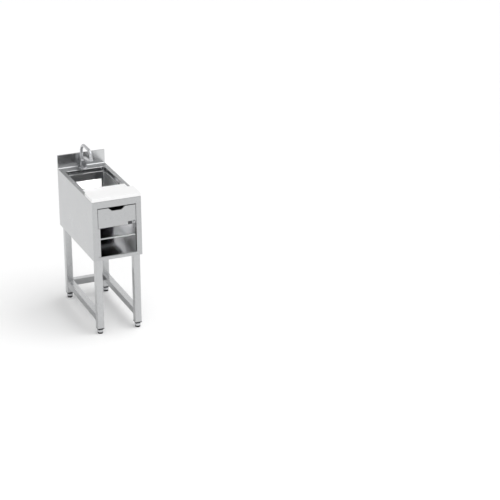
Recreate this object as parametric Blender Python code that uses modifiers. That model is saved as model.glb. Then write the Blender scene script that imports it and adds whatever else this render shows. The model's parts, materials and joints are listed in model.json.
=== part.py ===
"""Bar sink station: a narrow stainless steel module with a basin, a tap, a board, a drawer and a niche.

Metres, +Z up. The front faces -Y. The origin is on the floor, under the middle of the station's box.
"""

import math

import bmesh
import bpy
from mathutils import Matrix, Vector

PARTS = "bar_sink_station"
CUTTERS = "cutters"

# Whole station
WIDTH = 0.300
DEPTH = 0.650
WORK_HEIGHT = 0.840
BODY_DROP = 0.366
SEAM = 0.0003
CUT_OVERRUN = 0.004

# Sheet and tube
DECK_SHEET = 0.0015
PANEL_SHEET = 0.0012
LINER_SHEET = 0.0010
TUBE_SIZE = 0.040
TUBE_WALL = 0.0015
TUBE_CORNER = 0.0025

# Splashback
SPLASH_HEIGHT = 0.085
SPLASH_THICKNESS = 0.010
SPLASH_FOOT = 0.009
SPLASH_COVE = 0.004
SPLASH_SHEET = 0.0012

# Basin cut-out in the worktop, and what is left of the worktop round it
SIDE_DECK = 0.027
FRONT_DECK = 0.230
REAR_DECK = 0.077
MOUTH_FRONT_RADIUS = 0.040
MOUTH_REAR_RADIUS = 0.015
MOUTH_LIP = 0.025

# Basin bowl
BOWL_LEDGE = 0.005
BOWL_RIM = 0.010
BOWL_DEPTH = 0.125
BOWL_TAPER = 0.004
BOWL_FLOOR_RADIUS = 0.018
BOWL_SHEET = 0.0010
SUMP_RADIUS = 0.040
SUMP_DEPTH = 0.002
SUMP_DRAFT = 0.004
DRAIN_HOLE_RADIUS = 0.0225
DRAIN_SETBACK_SHARE = 0.159

# Basin waste and trap
WASTE_RIM_RADIUS = 0.0345
WASTE_RIM_HEIGHT = 0.002
WASTE_TAIL_RADIUS = 0.0215
WASTE_BORE_RADIUS = 0.0185
WASTE_TAIL_LENGTH = 0.042
STRAINER_SHEET = 0.0015
STRAINER_DROP = 0.003
STRAINER_HOLE_RADIUS = 0.003
STRAINER_HOLE_PITCH = 0.011
GASKET_RADIUS = 0.033
GASKET_HEIGHT = 0.003
WASTE_NUT_RADIUS = 0.034
WASTE_NUT_HEIGHT = 0.008
TRAP_COLLAR_RADIUS = 0.027
TRAP_COLLAR_HEIGHT = 0.020
TRAP_RADIUS = 0.032
TRAP_HEIGHT = 0.052
TRAP_SHOULDER = 0.006
TRAP_WALL = 0.0030
TRAP_CUP_RADIUS = 0.0345
TRAP_CUP_HEIGHT = 0.030
TRAP_CUP_CORNER = 0.008
TRAP_BOSS_RADIUS = 0.0185
TRAP_BOSS_START = 0.024
TRAP_BOSS_REACH = 0.035
TRAP_OUTLET_RADIUS = 0.016
TRAP_OUTLET_BORE = 0.0135
TRAP_OUTLET_DROP = 0.016
TRAP_OUTLET_REAR = 0.012

# Side, front, rear and bottom panels
PANEL_RETURN = 0.010
FRAME_SIDE = 0.032
OPENING_TOP = 0.041
OPENING_BOTTOM = 0.3445
OPENING_RADIUS = 0.0015
OPENING_LIP = 0.014
SERVICE_WIDTH = 0.140
SERVICE_HEIGHT = 0.110
SERVICE_RADIUS = 0.012
SERVICE_RISE = 0.128
BOTTOM_RISE = 0.012

# Niche under the drawer
NICHE_TOP = 0.167
NICHE_REAR_GAP = 0.0105
NICHE_LEFT_FLANGE = 0.0137
NICHE_RIGHT_FLANGE = 0.002
NICHE_SETBACK = 0.003
SHELF_DROP = 0.230
SHELF_LIP = 0.008
SHELF_SETBACK = 0.003
SHELF_REAR_GAP = 0.002
LEDGE_WIDTH = 0.012
LEDGE_HEIGHT = 0.012
LEDGE_SETBACK = 0.006

# Drawer
DRAWER_SIDE_GAP = 0.0025
DRAWER_TOP_GAP = 0.004
DRAWER_SETBACK = 0.0005
DRAWER_RETURN = 0.012
DRAWER_BOX_INSET = 0.014
DRAWER_BOX_LENGTH = 0.212
DRAWER_BOX_TOP = 0.069
DRAWER_FLOOR_GAP = 0.003
NOTCH_TOP_WIDTH = 0.107
NOTCH_BOTTOM_WIDTH = 0.058
NOTCH_DEPTH = 0.0205
HOUSING_SIDE_GAP = 0.0003
HOUSING_REAR = 0.222
RUNNER_HEIGHT = 0.030
RUNNER_DROP = 0.110
RUNNER_WIDTH = 0.0072
RUNNER_LENGTH = 0.187
RUNNER_SETBACK = 0.018
SLIDE_CLEARANCE = 0.0003
SLIDE_END_CLEARANCE = 0.001
SLIDE_LENGTH = 0.184

# Bare plate and wire bail on the drawer front
PLATE_WIDTH = 0.025
PLATE_HEIGHT = 0.018
PLATE_THICKNESS = 0.001
PLATE_RIGHT = 0.0245
PLATE_RISE = 0.0015
BAIL_WIRE_RADIUS = 0.0013
BAIL_WIDTH = 0.014
BAIL_LENGTH = 0.043
BAIL_CORNER = 0.004
BAIL_RIGHT = 0.003
BAIL_RISE = 0.018
BAIL_STANDOFF = 0.0028
EAR_SHEET = 0.0008
EAR_HEIGHT = 0.006
EAR_DEPTH = 0.0050
EAR_BORE_CLEARANCE = 0.0003
EAR_SPREAD = 0.0056

# White board on the front of the worktop
BOARD_DEPTH = 0.130
BOARD_THICKNESS = 0.020
BOARD_EDGE = 0.0015
BOARD_NOTCH_WIDTH = 0.057
BOARD_NOTCH_INNER = 0.043
BOARD_NOTCH_DEPTH = 0.014
PIN_RADIUS = 0.004
PIN_HEIGHT = 0.009
PIN_CHAMFER = 0.001
PIN_HOLE_RADIUS = 0.0045
PIN_HOLE_DEPTH = 0.0105
PIN_INSET = 0.040

# White card in the basin
CARD_SIDE_GAP = 0.043
CARD_HEIGHT = 0.103
CARD_THICKNESS = 0.002
CARD_SUMP_GAP = 0.004
CARD_REAR_GAP = 0.006

# Tap, with heights over the worktop
TAP_SETBACK = 0.0265
TAP_BASE_RADIUS = 0.0245
TAP_BASE_HEIGHT = 0.006
TAP_BASE_EDGE = 0.002
TAP_RADIUS = 0.018
TAP_NECK_RADIUS = 0.0165
TAP_BARREL_TOP = 0.022
TAP_NECK_TOP = 0.046
TAP_BODY_TOP = 0.052
TAP_DOME_RADIUS = 0.017
TAP_DOME_CENTRE = 0.054
COLLAR_RADIUS = 0.0215
COLLAR_CLEARANCE = 0.0003
COLLAR_EDGE = 0.001
SPOUT_RADIUS = 0.0095
SPOUT_OFFSET = 0.0305
SPOUT_START = 0.0185
SPOUT_LEVEL = 0.034
SPOUT_TOP = 0.150
SPOUT_SPAN = 0.1825
SPOUT_REAR_BEND = 0.062
SPOUT_FRONT_BEND = 0.045
SPOUT_TAIL = 0.003
AERATOR_RADIUS = 0.0115
AERATOR_LENGTH = 0.009
AERATOR_LIP = 0.001
LEVER_SHELL = 0.0026
LEVER_CLEARANCE = 0.0004
LEVER_REACH = 0.118
LEVER_ROOT = 0.002
LEVER_WIDTH = 0.028
LEVER_TIP_WIDTH = 0.022
LEVER_TIP_CORNER = 0.008
LEVER_THICKNESS = 0.009
LEVER_TIP_THICKNESS = 0.006
LEVER_RISE = 0.014
LEVER_LEVEL = 0.064
LEVER_EDGE = 0.0018
SHANK_RADIUS = 0.015
SHANK_HOLE_RADIUS = 0.0165
SHANK_DROP = 0.045
SHANK_WASHER_RADIUS = 0.0225
SHANK_WASHER_HEIGHT = 0.003
SHANK_NUT_RADIUS = 0.022
SHANK_NUT_HEIGHT = 0.008
SHANK_FIT = 0.0004

# Legs, stretchers and feet
LEG_SIDE_INSET = 0.012
LEG_FRONT_INSET = 0.008
LEG_REAR_INSET = 0.020
LEG_BOTTOM = 0.037
LEG_PLATE_THICKNESS = 0.003
LEG_PLATE_REACH = 0.030
BOLT_REACH = 0.016
BOLT_RADIUS = 0.004
BOLT_HOLE_RADIUS = 0.0045
BOLT_HEAD_RADIUS = 0.0072
BOLT_HEAD_HEIGHT = 0.0045
BOLT_NUT_HEIGHT = 0.0065
STRETCHER_TOP = 0.120
CAP_FLANGE = 0.005
CAP_PLUG = 0.014
CAP_EDGE = 0.001
STEM_RADIUS = 0.005
STEM_BORE_CLEARANCE = 0.0003
STEM_TOP = 0.062
STEM_NUT_RADIUS = 0.0095
STEM_NUT_HEIGHT = 0.005
PAD_RADIUS = 0.018
PAD_HEIGHT = 0.0255
PAD_EDGE = 0.0015
PAD_BASE_RADIUS = 0.0155
PAD_BASE_HEIGHT = 0.009
PAD_SHOULDER = 0.003
PAD_SOCKET_DEPTH = 0.006
STEM_NUT_CLEARANCE = 0.001

# Numbers of facets
ROUND_STEPS = 24
FINE_STEPS = 40
SMALL_STEPS = 12
HEX_STEPS = 6
CORNER_STEPS = 5
TUBE_CORNER_STEPS = 2
DOME_STEPS = 6
SPOUT_ELBOW_STEPS = 4
SPOUT_BEND_STEPS = 8
SPOUT_BEVEL_RESOLUTION = 4
WIRE_BEVEL_RESOLUTION = 2
STRAINER_HOLES = 6
EDGE_SEGMENTS = 2
ROUND_PROFILE_SHARE = 0.5

# Angles
QUARTER = math.pi / 2
LEVER_SHELL_SPREAD = math.radians(60)
DOME_BASE = math.asin((TAP_DOME_CENTRE - TAP_BODY_TOP) / TAP_DOME_RADIUS)

# Planes and axes worked out from the sizes above
CATCH_PROUD = SEAM + EAR_DEPTH - DRAWER_SETBACK
BACK = (DEPTH + CATCH_PROUD) / 2
FRONT = BACK - DEPTH
SIDE = WIDTH / 2
MOUTH_WIDTH = WIDTH - 2 * SIDE_DECK
MOUTH_LENGTH = DEPTH - FRONT_DECK - REAR_DECK
DECK_UNDER = WORK_HEIGHT - DECK_SHEET
BODY_BOTTOM = WORK_HEIGHT - BODY_DROP
BODY_TOP = DECK_UNDER - SEAM
INNER_SIDE = SIDE - PANEL_SHEET - SEAM
MOUTH_FRONT = FRONT + FRONT_DECK
MOUTH_CENTRE = MOUTH_FRONT + MOUTH_LENGTH / 2
DRAIN_SETBACK = DRAIN_SETBACK_SHARE * MOUTH_LENGTH
DRAIN_Y = MOUTH_CENTRE + DRAIN_SETBACK
SPLASH_FRONT = BACK - SPLASH_THICKNESS
SPLASH_BASE = WORK_HEIGHT + SEAM
SPLASH_TOP = WORK_HEIGHT + SPLASH_HEIGHT
BOWL_TOP = WORK_HEIGHT - MOUTH_LIP - SEAM
BOWL_FLOOR = BOWL_TOP - BOWL_DEPTH
SUMP_FLOOR = BOWL_FLOOR - SUMP_DEPTH
SUMP_UNDER = SUMP_FLOOR - BOWL_SHEET
TAP_Y = MOUTH_FRONT + MOUTH_LENGTH + TAP_SETBACK
OPENING_WIDTH = WIDTH - 2 * FRAME_SIDE
OPENING_Z_TOP = WORK_HEIGHT - OPENING_TOP
OPENING_Z_BOTTOM = WORK_HEIGHT - OPENING_BOTTOM
NICHE_FLOOR = OPENING_Z_BOTTOM + SEAM + LINER_SHEET
NICHE_CEILING = WORK_HEIGHT - NICHE_TOP
NICHE_LEFT = SEAM + NICHE_LEFT_FLANGE - OPENING_WIDTH / 2
NICHE_RIGHT = OPENING_WIDTH / 2 - SEAM - NICHE_RIGHT_FLANGE
NICHE_FRONT = FRONT + NICHE_SETBACK
NICHE_DEPTH = DRAIN_Y - TRAP_CUP_RADIUS - NICHE_REAR_GAP - NICHE_FRONT
HOUSING_FLOOR = NICHE_CEILING + LINER_SHEET + SEAM + LINER_SHEET
HOUSING_SIDE = OPENING_WIDTH / 2 + PANEL_SHEET + HOUSING_SIDE_GAP
SHELF_TOP = WORK_HEIGHT - SHELF_DROP
SHELF_FRONT = NICHE_FRONT + SHELF_SETBACK
DRAWER_FACE = FRONT + DRAWER_SETBACK
DRAWER_SIDE = OPENING_WIDTH / 2 - DRAWER_SIDE_GAP
DRAWER_BOTTOM = HOUSING_FLOOR + SEAM
DRAWER_TOP = OPENING_Z_TOP - DRAWER_TOP_GAP
DRAWER_BOX_FRONT = DRAWER_FACE + PANEL_SHEET + SEAM
DRAWER_BOX_WIDTH = OPENING_WIDTH - 2 * DRAWER_BOX_INSET
DRAWER_BOX_SIDE = DRAWER_BOX_WIDTH / 2
DRAWER_BOX_FLOOR = HOUSING_FLOOR + DRAWER_FLOOR_GAP
RUNNER_TOP = WORK_HEIGHT - RUNNER_DROP
BOARD_BACK = FRONT + BOARD_DEPTH
BOARD_BASE = WORK_HEIGHT + SEAM
PIN_SPREAD = WIDTH - 2 * PIN_INSET
CARD_WIDTH = MOUTH_WIDTH - 2 * CARD_SIDE_GAP
CARD_FACE = DRAIN_Y + SUMP_RADIUS + CARD_SUMP_GAP
BOWL_FLOOR_REAR = MOUTH_CENTRE + MOUTH_LENGTH / 2 - BOWL_LEDGE - BOWL_TAPER - BOWL_FLOOR_RADIUS
CARD_FOOT = BOWL_FLOOR_REAR - CARD_REAR_GAP - CARD_FACE
LEG_TOP = BODY_BOTTOM + BOTTOM_RISE - SEAM
LEG_X = SIDE - LEG_SIDE_INSET - TUBE_SIZE / 2
LEG_FRONT_Y = FRONT + LEG_FRONT_INSET + TUBE_SIZE / 2
LEG_REAR_Y = BACK - LEG_REAR_INSET - TUBE_SIZE / 2
LEGS = {
    "front_left": (-LEG_X, LEG_FRONT_Y),
    "front_right": (LEG_X, LEG_FRONT_Y),
    "rear_left": (-LEG_X, LEG_REAR_Y),
    "rear_right": (LEG_X, LEG_REAR_Y),
}

# Base colour, metallic and roughness of each finish
FINISHES = {
    "satin_steel": ((0.60, 0.60, 0.60), 1.0, 0.32),
    "polished_steel": ((0.62, 0.62, 0.63), 1.0, 0.16),
    "chrome": ((0.80, 0.80, 0.81), 1.0, 0.06),
    "white_board": ((0.86, 0.86, 0.85), 0.0, 0.45),
    "white_card": ((0.88, 0.88, 0.88), 0.0, 0.35),
    "black_plastic": ((0.03, 0.03, 0.03), 0.0, 0.50),
    "grey_plastic": ((0.55, 0.56, 0.57), 0.0, 0.45),
    "rubber": ((0.02, 0.02, 0.02), 0.0, 0.80),
    "dark_plate": ((0.10, 0.10, 0.10), 0.6, 0.45),
}


def clear_scene():
    """Empties the file and adds the two collections."""
    for obj in list(bpy.data.objects):
        bpy.data.objects.remove(obj, do_unlink=True)
    for name in (PARTS, CUTTERS):
        bpy.context.scene.collection.children.link(bpy.data.collections.new(name))


def own_material(name, finish):
    """A Principled material for one sub-part."""
    colour, metallic, roughness = FINISHES[finish]
    material = bpy.data.materials.new(name + "_" + finish)
    material.use_nodes = True
    shader = material.node_tree.nodes["Principled BSDF"]
    shader.inputs["Base Color"].default_value = (*colour, 1.0)
    shader.inputs["Metallic"].default_value = metallic
    shader.inputs["Roughness"].default_value = roughness
    return material


def mesh_from(bm, name):
    """Turns a bmesh into a mesh and frees it."""
    mesh = bpy.data.meshes.new(name)
    bm.to_mesh(mesh)
    bm.free()
    return mesh


def add_part(name, mesh, finish, place=(0, 0, 0), turn=(0, 0, 0), smooth=False):
    """Adds a sub-part with its own material to the station's collection."""
    obj = bpy.data.objects.new(name, mesh)
    obj.location = place
    obj.rotation_euler = turn
    bpy.data.collections[PARTS].objects.link(obj)
    mesh.materials.append(own_material(name, finish))
    if smooth:
        mesh.shade_smooth()
        mesh.set_sharp_from_angle(angle=math.radians(35))
    return obj


def add_guide(name, mesh, place=(0, 0, 0), turn=(0, 0, 0)):
    """Adds a cutter, or a shape that is joined to a sub-part, to the cutters' collection."""
    obj = bpy.data.objects.new(name, mesh)
    obj.location = place
    obj.rotation_euler = turn
    obj.hide_render = True
    obj.display_type = "WIRE"
    bpy.data.collections[CUTTERS].objects.link(obj)
    return obj


def boolean(target, guide, operation):
    """Cuts or joins the guide with an exact Boolean."""
    modifier = target.modifiers.new(operation.lower() + "_" + guide.name, "BOOLEAN")
    modifier.operation = operation
    modifier.solver = "EXACT"
    modifier.object = guide


def solidify(obj, thickness):
    """Gives an open surface its wall, behind the side that its faces point to."""
    modifier = obj.modifiers.new("wall", "SOLIDIFY")
    modifier.thickness = thickness
    modifier.offset = -1
    modifier.use_even_offset = True
    modifier.use_rim = True


def bevel(obj, width, segments=EDGE_SEGMENTS):
    """Rounds the sharp edges of a sub-part."""
    modifier = obj.modifiers.new("edges", "BEVEL")
    modifier.width = width
    modifier.segments = segments
    modifier.limit_method = "ANGLE"
    modifier.angle_limit = math.radians(40)


def hold(name, place, children):
    """Parents the children to an empty on their joint's axis."""
    empty = bpy.data.objects.new(name, None)
    empty.location = place
    bpy.data.collections[PARTS].objects.link(empty)
    for child in children:
        child.parent = empty
        child.matrix_parent_inverse = Matrix.Translation(place).inverted()


def box_mesh(name, size):
    """A box of the given size, centred on its own origin."""
    bm = bmesh.new()
    bmesh.ops.create_cube(bm, size=1)
    bmesh.ops.scale(bm, vec=size, verts=bm.verts)
    return mesh_from(bm, name)


def span(low, high):
    """The size and the centre of a box between two corners."""
    low, high = Vector(low), Vector(high)
    return high - low, (low + high) / 2


def box_part(name, low, high, finish, edge=0.0):
    """A solid box between two corners, with rounded edges where a width is given."""
    size, centre = span(low, high)
    obj = add_part(name, box_mesh(name, size), finish, centre)
    if edge:
        bevel(obj, edge)
    return obj


def box_guide(name, low, high):
    """A box between two corners, to cut or join with."""
    size, centre = span(low, high)
    return add_guide(name, box_mesh(name, size), centre)


def cylinder_mesh(name, radius, depth, steps=ROUND_STEPS):
    """A cylinder along Z, centred on its own origin."""
    bm = bmesh.new()
    bmesh.ops.create_cone(
        bm, cap_ends=True, segments=steps, radius1=radius, radius2=radius, depth=depth
    )
    return mesh_from(bm, name)


def cylinder_guide(name, radius, low_z, high_z, centre, steps=ROUND_STEPS):
    """An upright cylinder between two heights, to cut or join with."""
    mesh = cylinder_mesh(name, radius, high_z - low_z, steps)
    return add_guide(name, mesh, (centre[0], centre[1], (low_z + high_z) / 2))


def turned_mesh(name, profile, closed=False):
    """The outline of a turned piece, as radius and height pairs that run down its outer side."""
    bm = bmesh.new()
    verts = [bm.verts.new((radius, 0, height)) for radius, height in profile]
    for first, second in zip(verts, verts[1:]):
        bm.edges.new((first, second))
    if closed:
        bm.edges.new((verts[-1], verts[0]))
    return mesh_from(bm, name)


def screw(obj, steps):
    """Turns an outline about its own Z axis."""
    modifier = obj.modifiers.new("turn", "SCREW")
    modifier.axis = "Z"
    modifier.angle = 2 * math.pi
    modifier.steps = steps
    modifier.render_steps = steps
    modifier.use_merge_vertices = True
    modifier.merge_threshold = 0.00001
    modifier.use_smooth_shade = True


def turned_part(name, profile, finish, place, turn=(0, 0, 0), steps=ROUND_STEPS, closed=False):
    """A piece turned about its own Z axis."""
    obj = add_part(name, turned_mesh(name, profile, closed), finish, place, turn)
    screw(obj, steps)
    return obj


def ring_profile(outer, inner, low, high):
    """The closed outline of a plain ring."""
    return [(outer, high), (outer, low), (inner, low), (inner, high)]


def arc(centre, radius, start, end, steps):
    """Points on an arc, from the start angle to the end angle."""
    points = []
    for step in range(steps + 1):
        angle = start + (end - start) * step / steps
        points.append((centre[0] + radius * math.cos(angle), centre[1] + radius * math.sin(angle)))
    return points


def rounded_rectangle(half_x, half_y, front_radius, rear_radius, steps=CORNER_STEPS):
    """Outline points, counter-clockwise, with their own corner radius at the front and the rear."""
    corners = (
        (half_x - front_radius, front_radius - half_y, front_radius, -QUARTER),
        (half_x - rear_radius, half_y - rear_radius, rear_radius, 0),
        (rear_radius - half_x, half_y - rear_radius, rear_radius, QUARTER),
        (front_radius - half_x, front_radius - half_y, front_radius, 2 * QUARTER),
    )
    points = []
    for x, y, radius, start in corners:
        points += arc((x, y), radius, start, start + QUARTER, steps)
    return points


def round_ring(radius, centre_y, steps=CORNER_STEPS):
    """A circle with as many points as a rounded rectangle, in the same order."""
    count = 4 * (steps + 1)
    half_step = math.pi / count
    return arc((0, centre_y), radius, half_step - QUARTER, half_step + 3 * QUARTER, count)[:-1]


def circle(centre, radius, steps=ROUND_STEPS):
    """Points on a circle."""
    return arc(centre, radius, 0, 2 * math.pi, steps)[:-1]


def rectangle(low, high):
    """The four corners of a rectangle."""
    return [(low[0], low[1]), (high[0], low[1]), (high[0], high[1]), (low[0], high[1])]


def shift(points, offset):
    """The same outline, moved."""
    return [(x + offset[0], y + offset[1]) for x, y in points]


def face_up(bm):
    """Makes every face of an open surface agree, with the flat of the sheet facing +Z."""
    bmesh.ops.recalc_face_normals(bm, faces=bm.faces)
    bm.normal_update()
    flat = max(bm.faces, key=lambda face: abs(face.normal.z) * face.calc_area())
    if flat.normal.z < 0:
        bmesh.ops.reverse_faces(bm, faces=bm.faces)


def sheet_mesh(name, outline, outer_lip=0.0, holes=()):
    """A flat sheet in the XY plane with its lips turned down.

    Each hole is a pair: its outline, and how far the sheet is turned down round it.
    """
    bm = bmesh.new()
    turned = []
    edges = []
    for points, lip in ((outline, outer_lip), *holes):
        verts = [bm.verts.new((x, y, 0)) for x, y in points]
        loop = [bm.edges.new((verts[i - 1], verts[i])) for i in range(len(verts))]
        edges += loop
        if lip:
            turned.append((loop, lip))
    bmesh.ops.triangle_fill(bm, use_beauty=True, use_dissolve=False, edges=edges)
    for loop, lip in turned:
        draw_out(bm, loop, (0, 0, -lip))
    face_up(bm)
    return mesh_from(bm, name)


def folded_mesh(name, path, length, across=1):
    """A strip folded along a path of (side, height) points and drawn out along Y.

    The sheet's visible side is on the left of the path for across 1 and on its right for -1.
    """
    bm = bmesh.new()
    verts = [bm.verts.new((x, 0, z)) for x, z in path]
    edges = [bm.edges.new(pair) for pair in zip(verts, verts[1:])]
    draw_out(bm, edges, (0, length, 0))
    left = Vector((path[0][1] - path[1][1], 0, path[1][0] - path[0][0])) * across
    first = next(face for face in bm.faces if verts[0] in face.verts)
    if first.normal.dot(left) < 0:
        bmesh.ops.reverse_faces(bm, faces=bm.faces)
    return mesh_from(bm, name)


def draw_out(bm, edges, offset):
    """Draws edges out into faces that agree with each other."""
    grown = bmesh.ops.extrude_edge_only(bm, edges=edges)["geom"]
    verts = [item for item in grown if isinstance(item, bmesh.types.BMVert)]
    bmesh.ops.translate(bm, verts=verts, vec=offset)
    bmesh.ops.recalc_face_normals(bm, faces=bm.faces)
    bm.normal_update()


def open_box_mesh(name, size, open_sides):
    """A box with its low corner at the origin and the named sides left open, facing inwards."""
    bm = bmesh.new()
    bmesh.ops.create_cube(bm, size=1)
    bmesh.ops.scale(bm, vec=size, verts=bm.verts)
    bmesh.ops.translate(bm, vec=Vector(size) / 2, verts=bm.verts)
    bm.normal_update()
    sides = {"front": Vector((0, -1, 0)), "top": Vector((0, 0, 1))}
    gone = [face for face in bm.faces if any(face.normal.dot(sides[s]) > 0.9 for s in open_sides)]
    bmesh.ops.delete(bm, geom=gone, context="FACES_ONLY")
    bmesh.ops.reverse_faces(bm, faces=bm.faces)
    return bm


def tube_mesh(name, length):
    """A square tube along Z with rounded corners and open ends, before it gets its wall."""
    half = TUBE_SIZE / 2
    outline = rounded_rectangle(half, half, TUBE_CORNER, TUBE_CORNER, TUBE_CORNER_STEPS)
    bm = bmesh.new()
    verts = [bm.verts.new((x, y, 0)) for x, y in outline]
    edges = [bm.edges.new((verts[i - 1], verts[i])) for i in range(len(verts))]
    draw_out(bm, edges, (0, 0, length))
    return mesh_from(bm, name)


def curve_object(name, points, radius, resolution):
    """A round wire or tube along the points, with its ends closed."""
    curve = bpy.data.curves.new(name, "CURVE")
    curve.dimensions = "3D"
    curve.bevel_depth = radius
    curve.bevel_resolution = resolution
    curve.use_fill_caps = True
    spline = curve.splines.new("POLY")
    spline.points.add(len(points[1:]))
    for point, place in zip(spline.points, points):
        point.co = (*place, 1)
    obj = bpy.data.objects.new(name, curve)
    bpy.data.collections[PARTS].objects.link(obj)
    return obj


def mesh_of_curve(obj):
    """A closed mesh of a curve object, which is removed."""
    bpy.context.view_layer.update()
    evaluated = obj.evaluated_get(bpy.context.evaluated_depsgraph_get())
    mesh = bpy.data.meshes.new_from_object(evaluated)
    mesh.transform(obj.matrix_world)
    bm = bmesh.new()
    bm.from_mesh(mesh)
    bmesh.ops.remove_doubles(bm, verts=bm.verts, dist=0.00001)
    bm.to_mesh(mesh)
    bm.free()
    bpy.data.objects.remove(obj, do_unlink=True)
    return mesh


def build_worktop():
    """The top sheet, turned down round the basin, with the tap's hole and the board's pins."""
    outline = rectangle((-SIDE, FRONT), (SIDE, BACK))
    mouth = rounded_rectangle(
        MOUTH_WIDTH / 2, MOUTH_LENGTH / 2, MOUTH_FRONT_RADIUS, MOUTH_REAR_RADIUS
    )
    holes = (
        (shift(mouth, (0, MOUTH_CENTRE)), MOUTH_LIP),
        (circle((0, TAP_Y), SHANK_HOLE_RADIUS), 0),
    )
    mesh = sheet_mesh("worktop", outline, 0, holes)
    worktop = add_part("worktop", mesh, "satin_steel", (0, 0, WORK_HEIGHT))
    solidify(worktop, DECK_SHEET)
    for name, x in (("left", -PIN_SPREAD / 2), ("right", PIN_SPREAD / 2)):
        pin = cylinder_guide(
            "board_pin_" + name, PIN_RADIUS, WORK_HEIGHT - DECK_SHEET / 2,
            WORK_HEIGHT + PIN_HEIGHT, (x, FRONT + BOARD_DEPTH / 2), SMALL_STEPS,
        )
        bevel(pin, PIN_CHAMFER, 1)
        boolean(worktop, pin, "UNION")


def build_splashback():
    """The folded upstand at the rear, on a coved foot, with plates welded into its ends."""
    foot_top = SPLASH_BASE + SPLASH_SHEET
    cove = arc(
        (SPLASH_FRONT - SPLASH_COVE, foot_top + SPLASH_COVE),
        SPLASH_COVE,
        -QUARTER,
        0,
        CORNER_STEPS,
    )
    path = [(SPLASH_FRONT - SPLASH_FOOT, foot_top), *cove]
    path += [(SPLASH_FRONT, SPLASH_TOP), (BACK, SPLASH_TOP), (BACK, SPLASH_BASE)]
    mesh = folded_mesh("splashback", path, WIDTH)
    splashback = add_part("splashback", mesh, "satin_steel", (SIDE, 0, 0), (0, 0, QUARTER))
    solidify(splashback, SPLASH_SHEET)
    inset = SPLASH_SHEET / 2
    for name, low_x in (("left", SEAM - SIDE), ("right", SIDE - SEAM - SPLASH_SHEET)):
        end = box_guide(
            "splash_end_" + name,
            (low_x, SPLASH_FRONT + inset, SPLASH_BASE + inset),
            (low_x + SPLASH_SHEET, BACK - inset, SPLASH_TOP - inset),
        )
        boolean(splashback, end, "UNION")


def build_side_panels():
    """The side sheets, turned in at the top and at the bottom."""
    front = FRONT + PANEL_SHEET + SEAM
    length = BACK - PANEL_SHEET - SEAM - front
    for name, side in (("side_panel_left", -1), ("side_panel_right", 1)):
        path = [
            (side * (SIDE - PANEL_RETURN), BODY_TOP),
            (side * SIDE, BODY_TOP),
            (side * SIDE, BODY_BOTTOM),
            (side * (SIDE - PANEL_RETURN), BODY_BOTTOM),
        ]
        mesh = folded_mesh(name, path, length, side)
        panel = add_part(name, mesh, "satin_steel", (0, front, 0))
        solidify(panel, PANEL_SHEET)


def build_front_frame():
    """The front sheet round the drawer and the niche, turned in round its opening."""
    middle = (BODY_TOP + BODY_BOTTOM) / 2
    outline = rectangle((-SIDE, BODY_BOTTOM - middle), (SIDE, BODY_TOP - middle))
    half_height = (OPENING_Z_TOP - OPENING_Z_BOTTOM) / 2
    hole = rounded_rectangle(
        OPENING_WIDTH / 2, half_height, OPENING_RADIUS, OPENING_RADIUS, TUBE_CORNER_STEPS
    )
    hole = shift(hole, (0, OPENING_Z_BOTTOM + half_height - middle))
    mesh = sheet_mesh("front_frame", outline, 0, ((hole, OPENING_LIP),))
    frame = add_part("front_frame", mesh, "satin_steel", (0, FRONT, middle), (QUARTER, 0, 0))
    solidify(frame, PANEL_SHEET)


def build_rear_panel():
    """The back sheet with the service opening for the pipes."""
    middle = (BODY_TOP + BODY_BOTTOM) / 2
    outline = rectangle((-SIDE, BODY_BOTTOM - middle), (SIDE, BODY_TOP - middle))
    hole = rounded_rectangle(
        SERVICE_WIDTH / 2, SERVICE_HEIGHT / 2, SERVICE_RADIUS, SERVICE_RADIUS
    )
    hole = shift(hole, (0, BODY_BOTTOM + SERVICE_RISE - middle))
    mesh = sheet_mesh("rear_panel", outline, 0, ((hole, 0),))
    turn = (QUARTER, 0, 2 * QUARTER)
    panel = add_part("rear_panel", mesh, "satin_steel", (0, BACK, middle), turn)
    solidify(panel, PANEL_SHEET)


def bolt_place(centre):
    """Where a leg's bolt stands, inwards of the leg."""
    x, y = centre
    return (x - math.copysign(TUBE_SIZE / 2 + BOLT_REACH, x), y)


def build_bottom_panel():
    """The floor of the body, with the holes of the legs' bolts."""
    inset = PANEL_SHEET + SEAM
    outline = rectangle((-INNER_SIDE, FRONT + inset), (INNER_SIDE, BACK - inset))
    holes = [(circle(bolt_place(leg), BOLT_HOLE_RADIUS, SMALL_STEPS), 0) for leg in LEGS.values()]
    mesh = sheet_mesh("bottom_panel", outline, 0, holes)
    level = BODY_BOTTOM + BOTTOM_RISE + PANEL_SHEET
    panel = add_part("bottom_panel", mesh, "satin_steel", (0, 0, level))
    solidify(panel, PANEL_SHEET)


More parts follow.
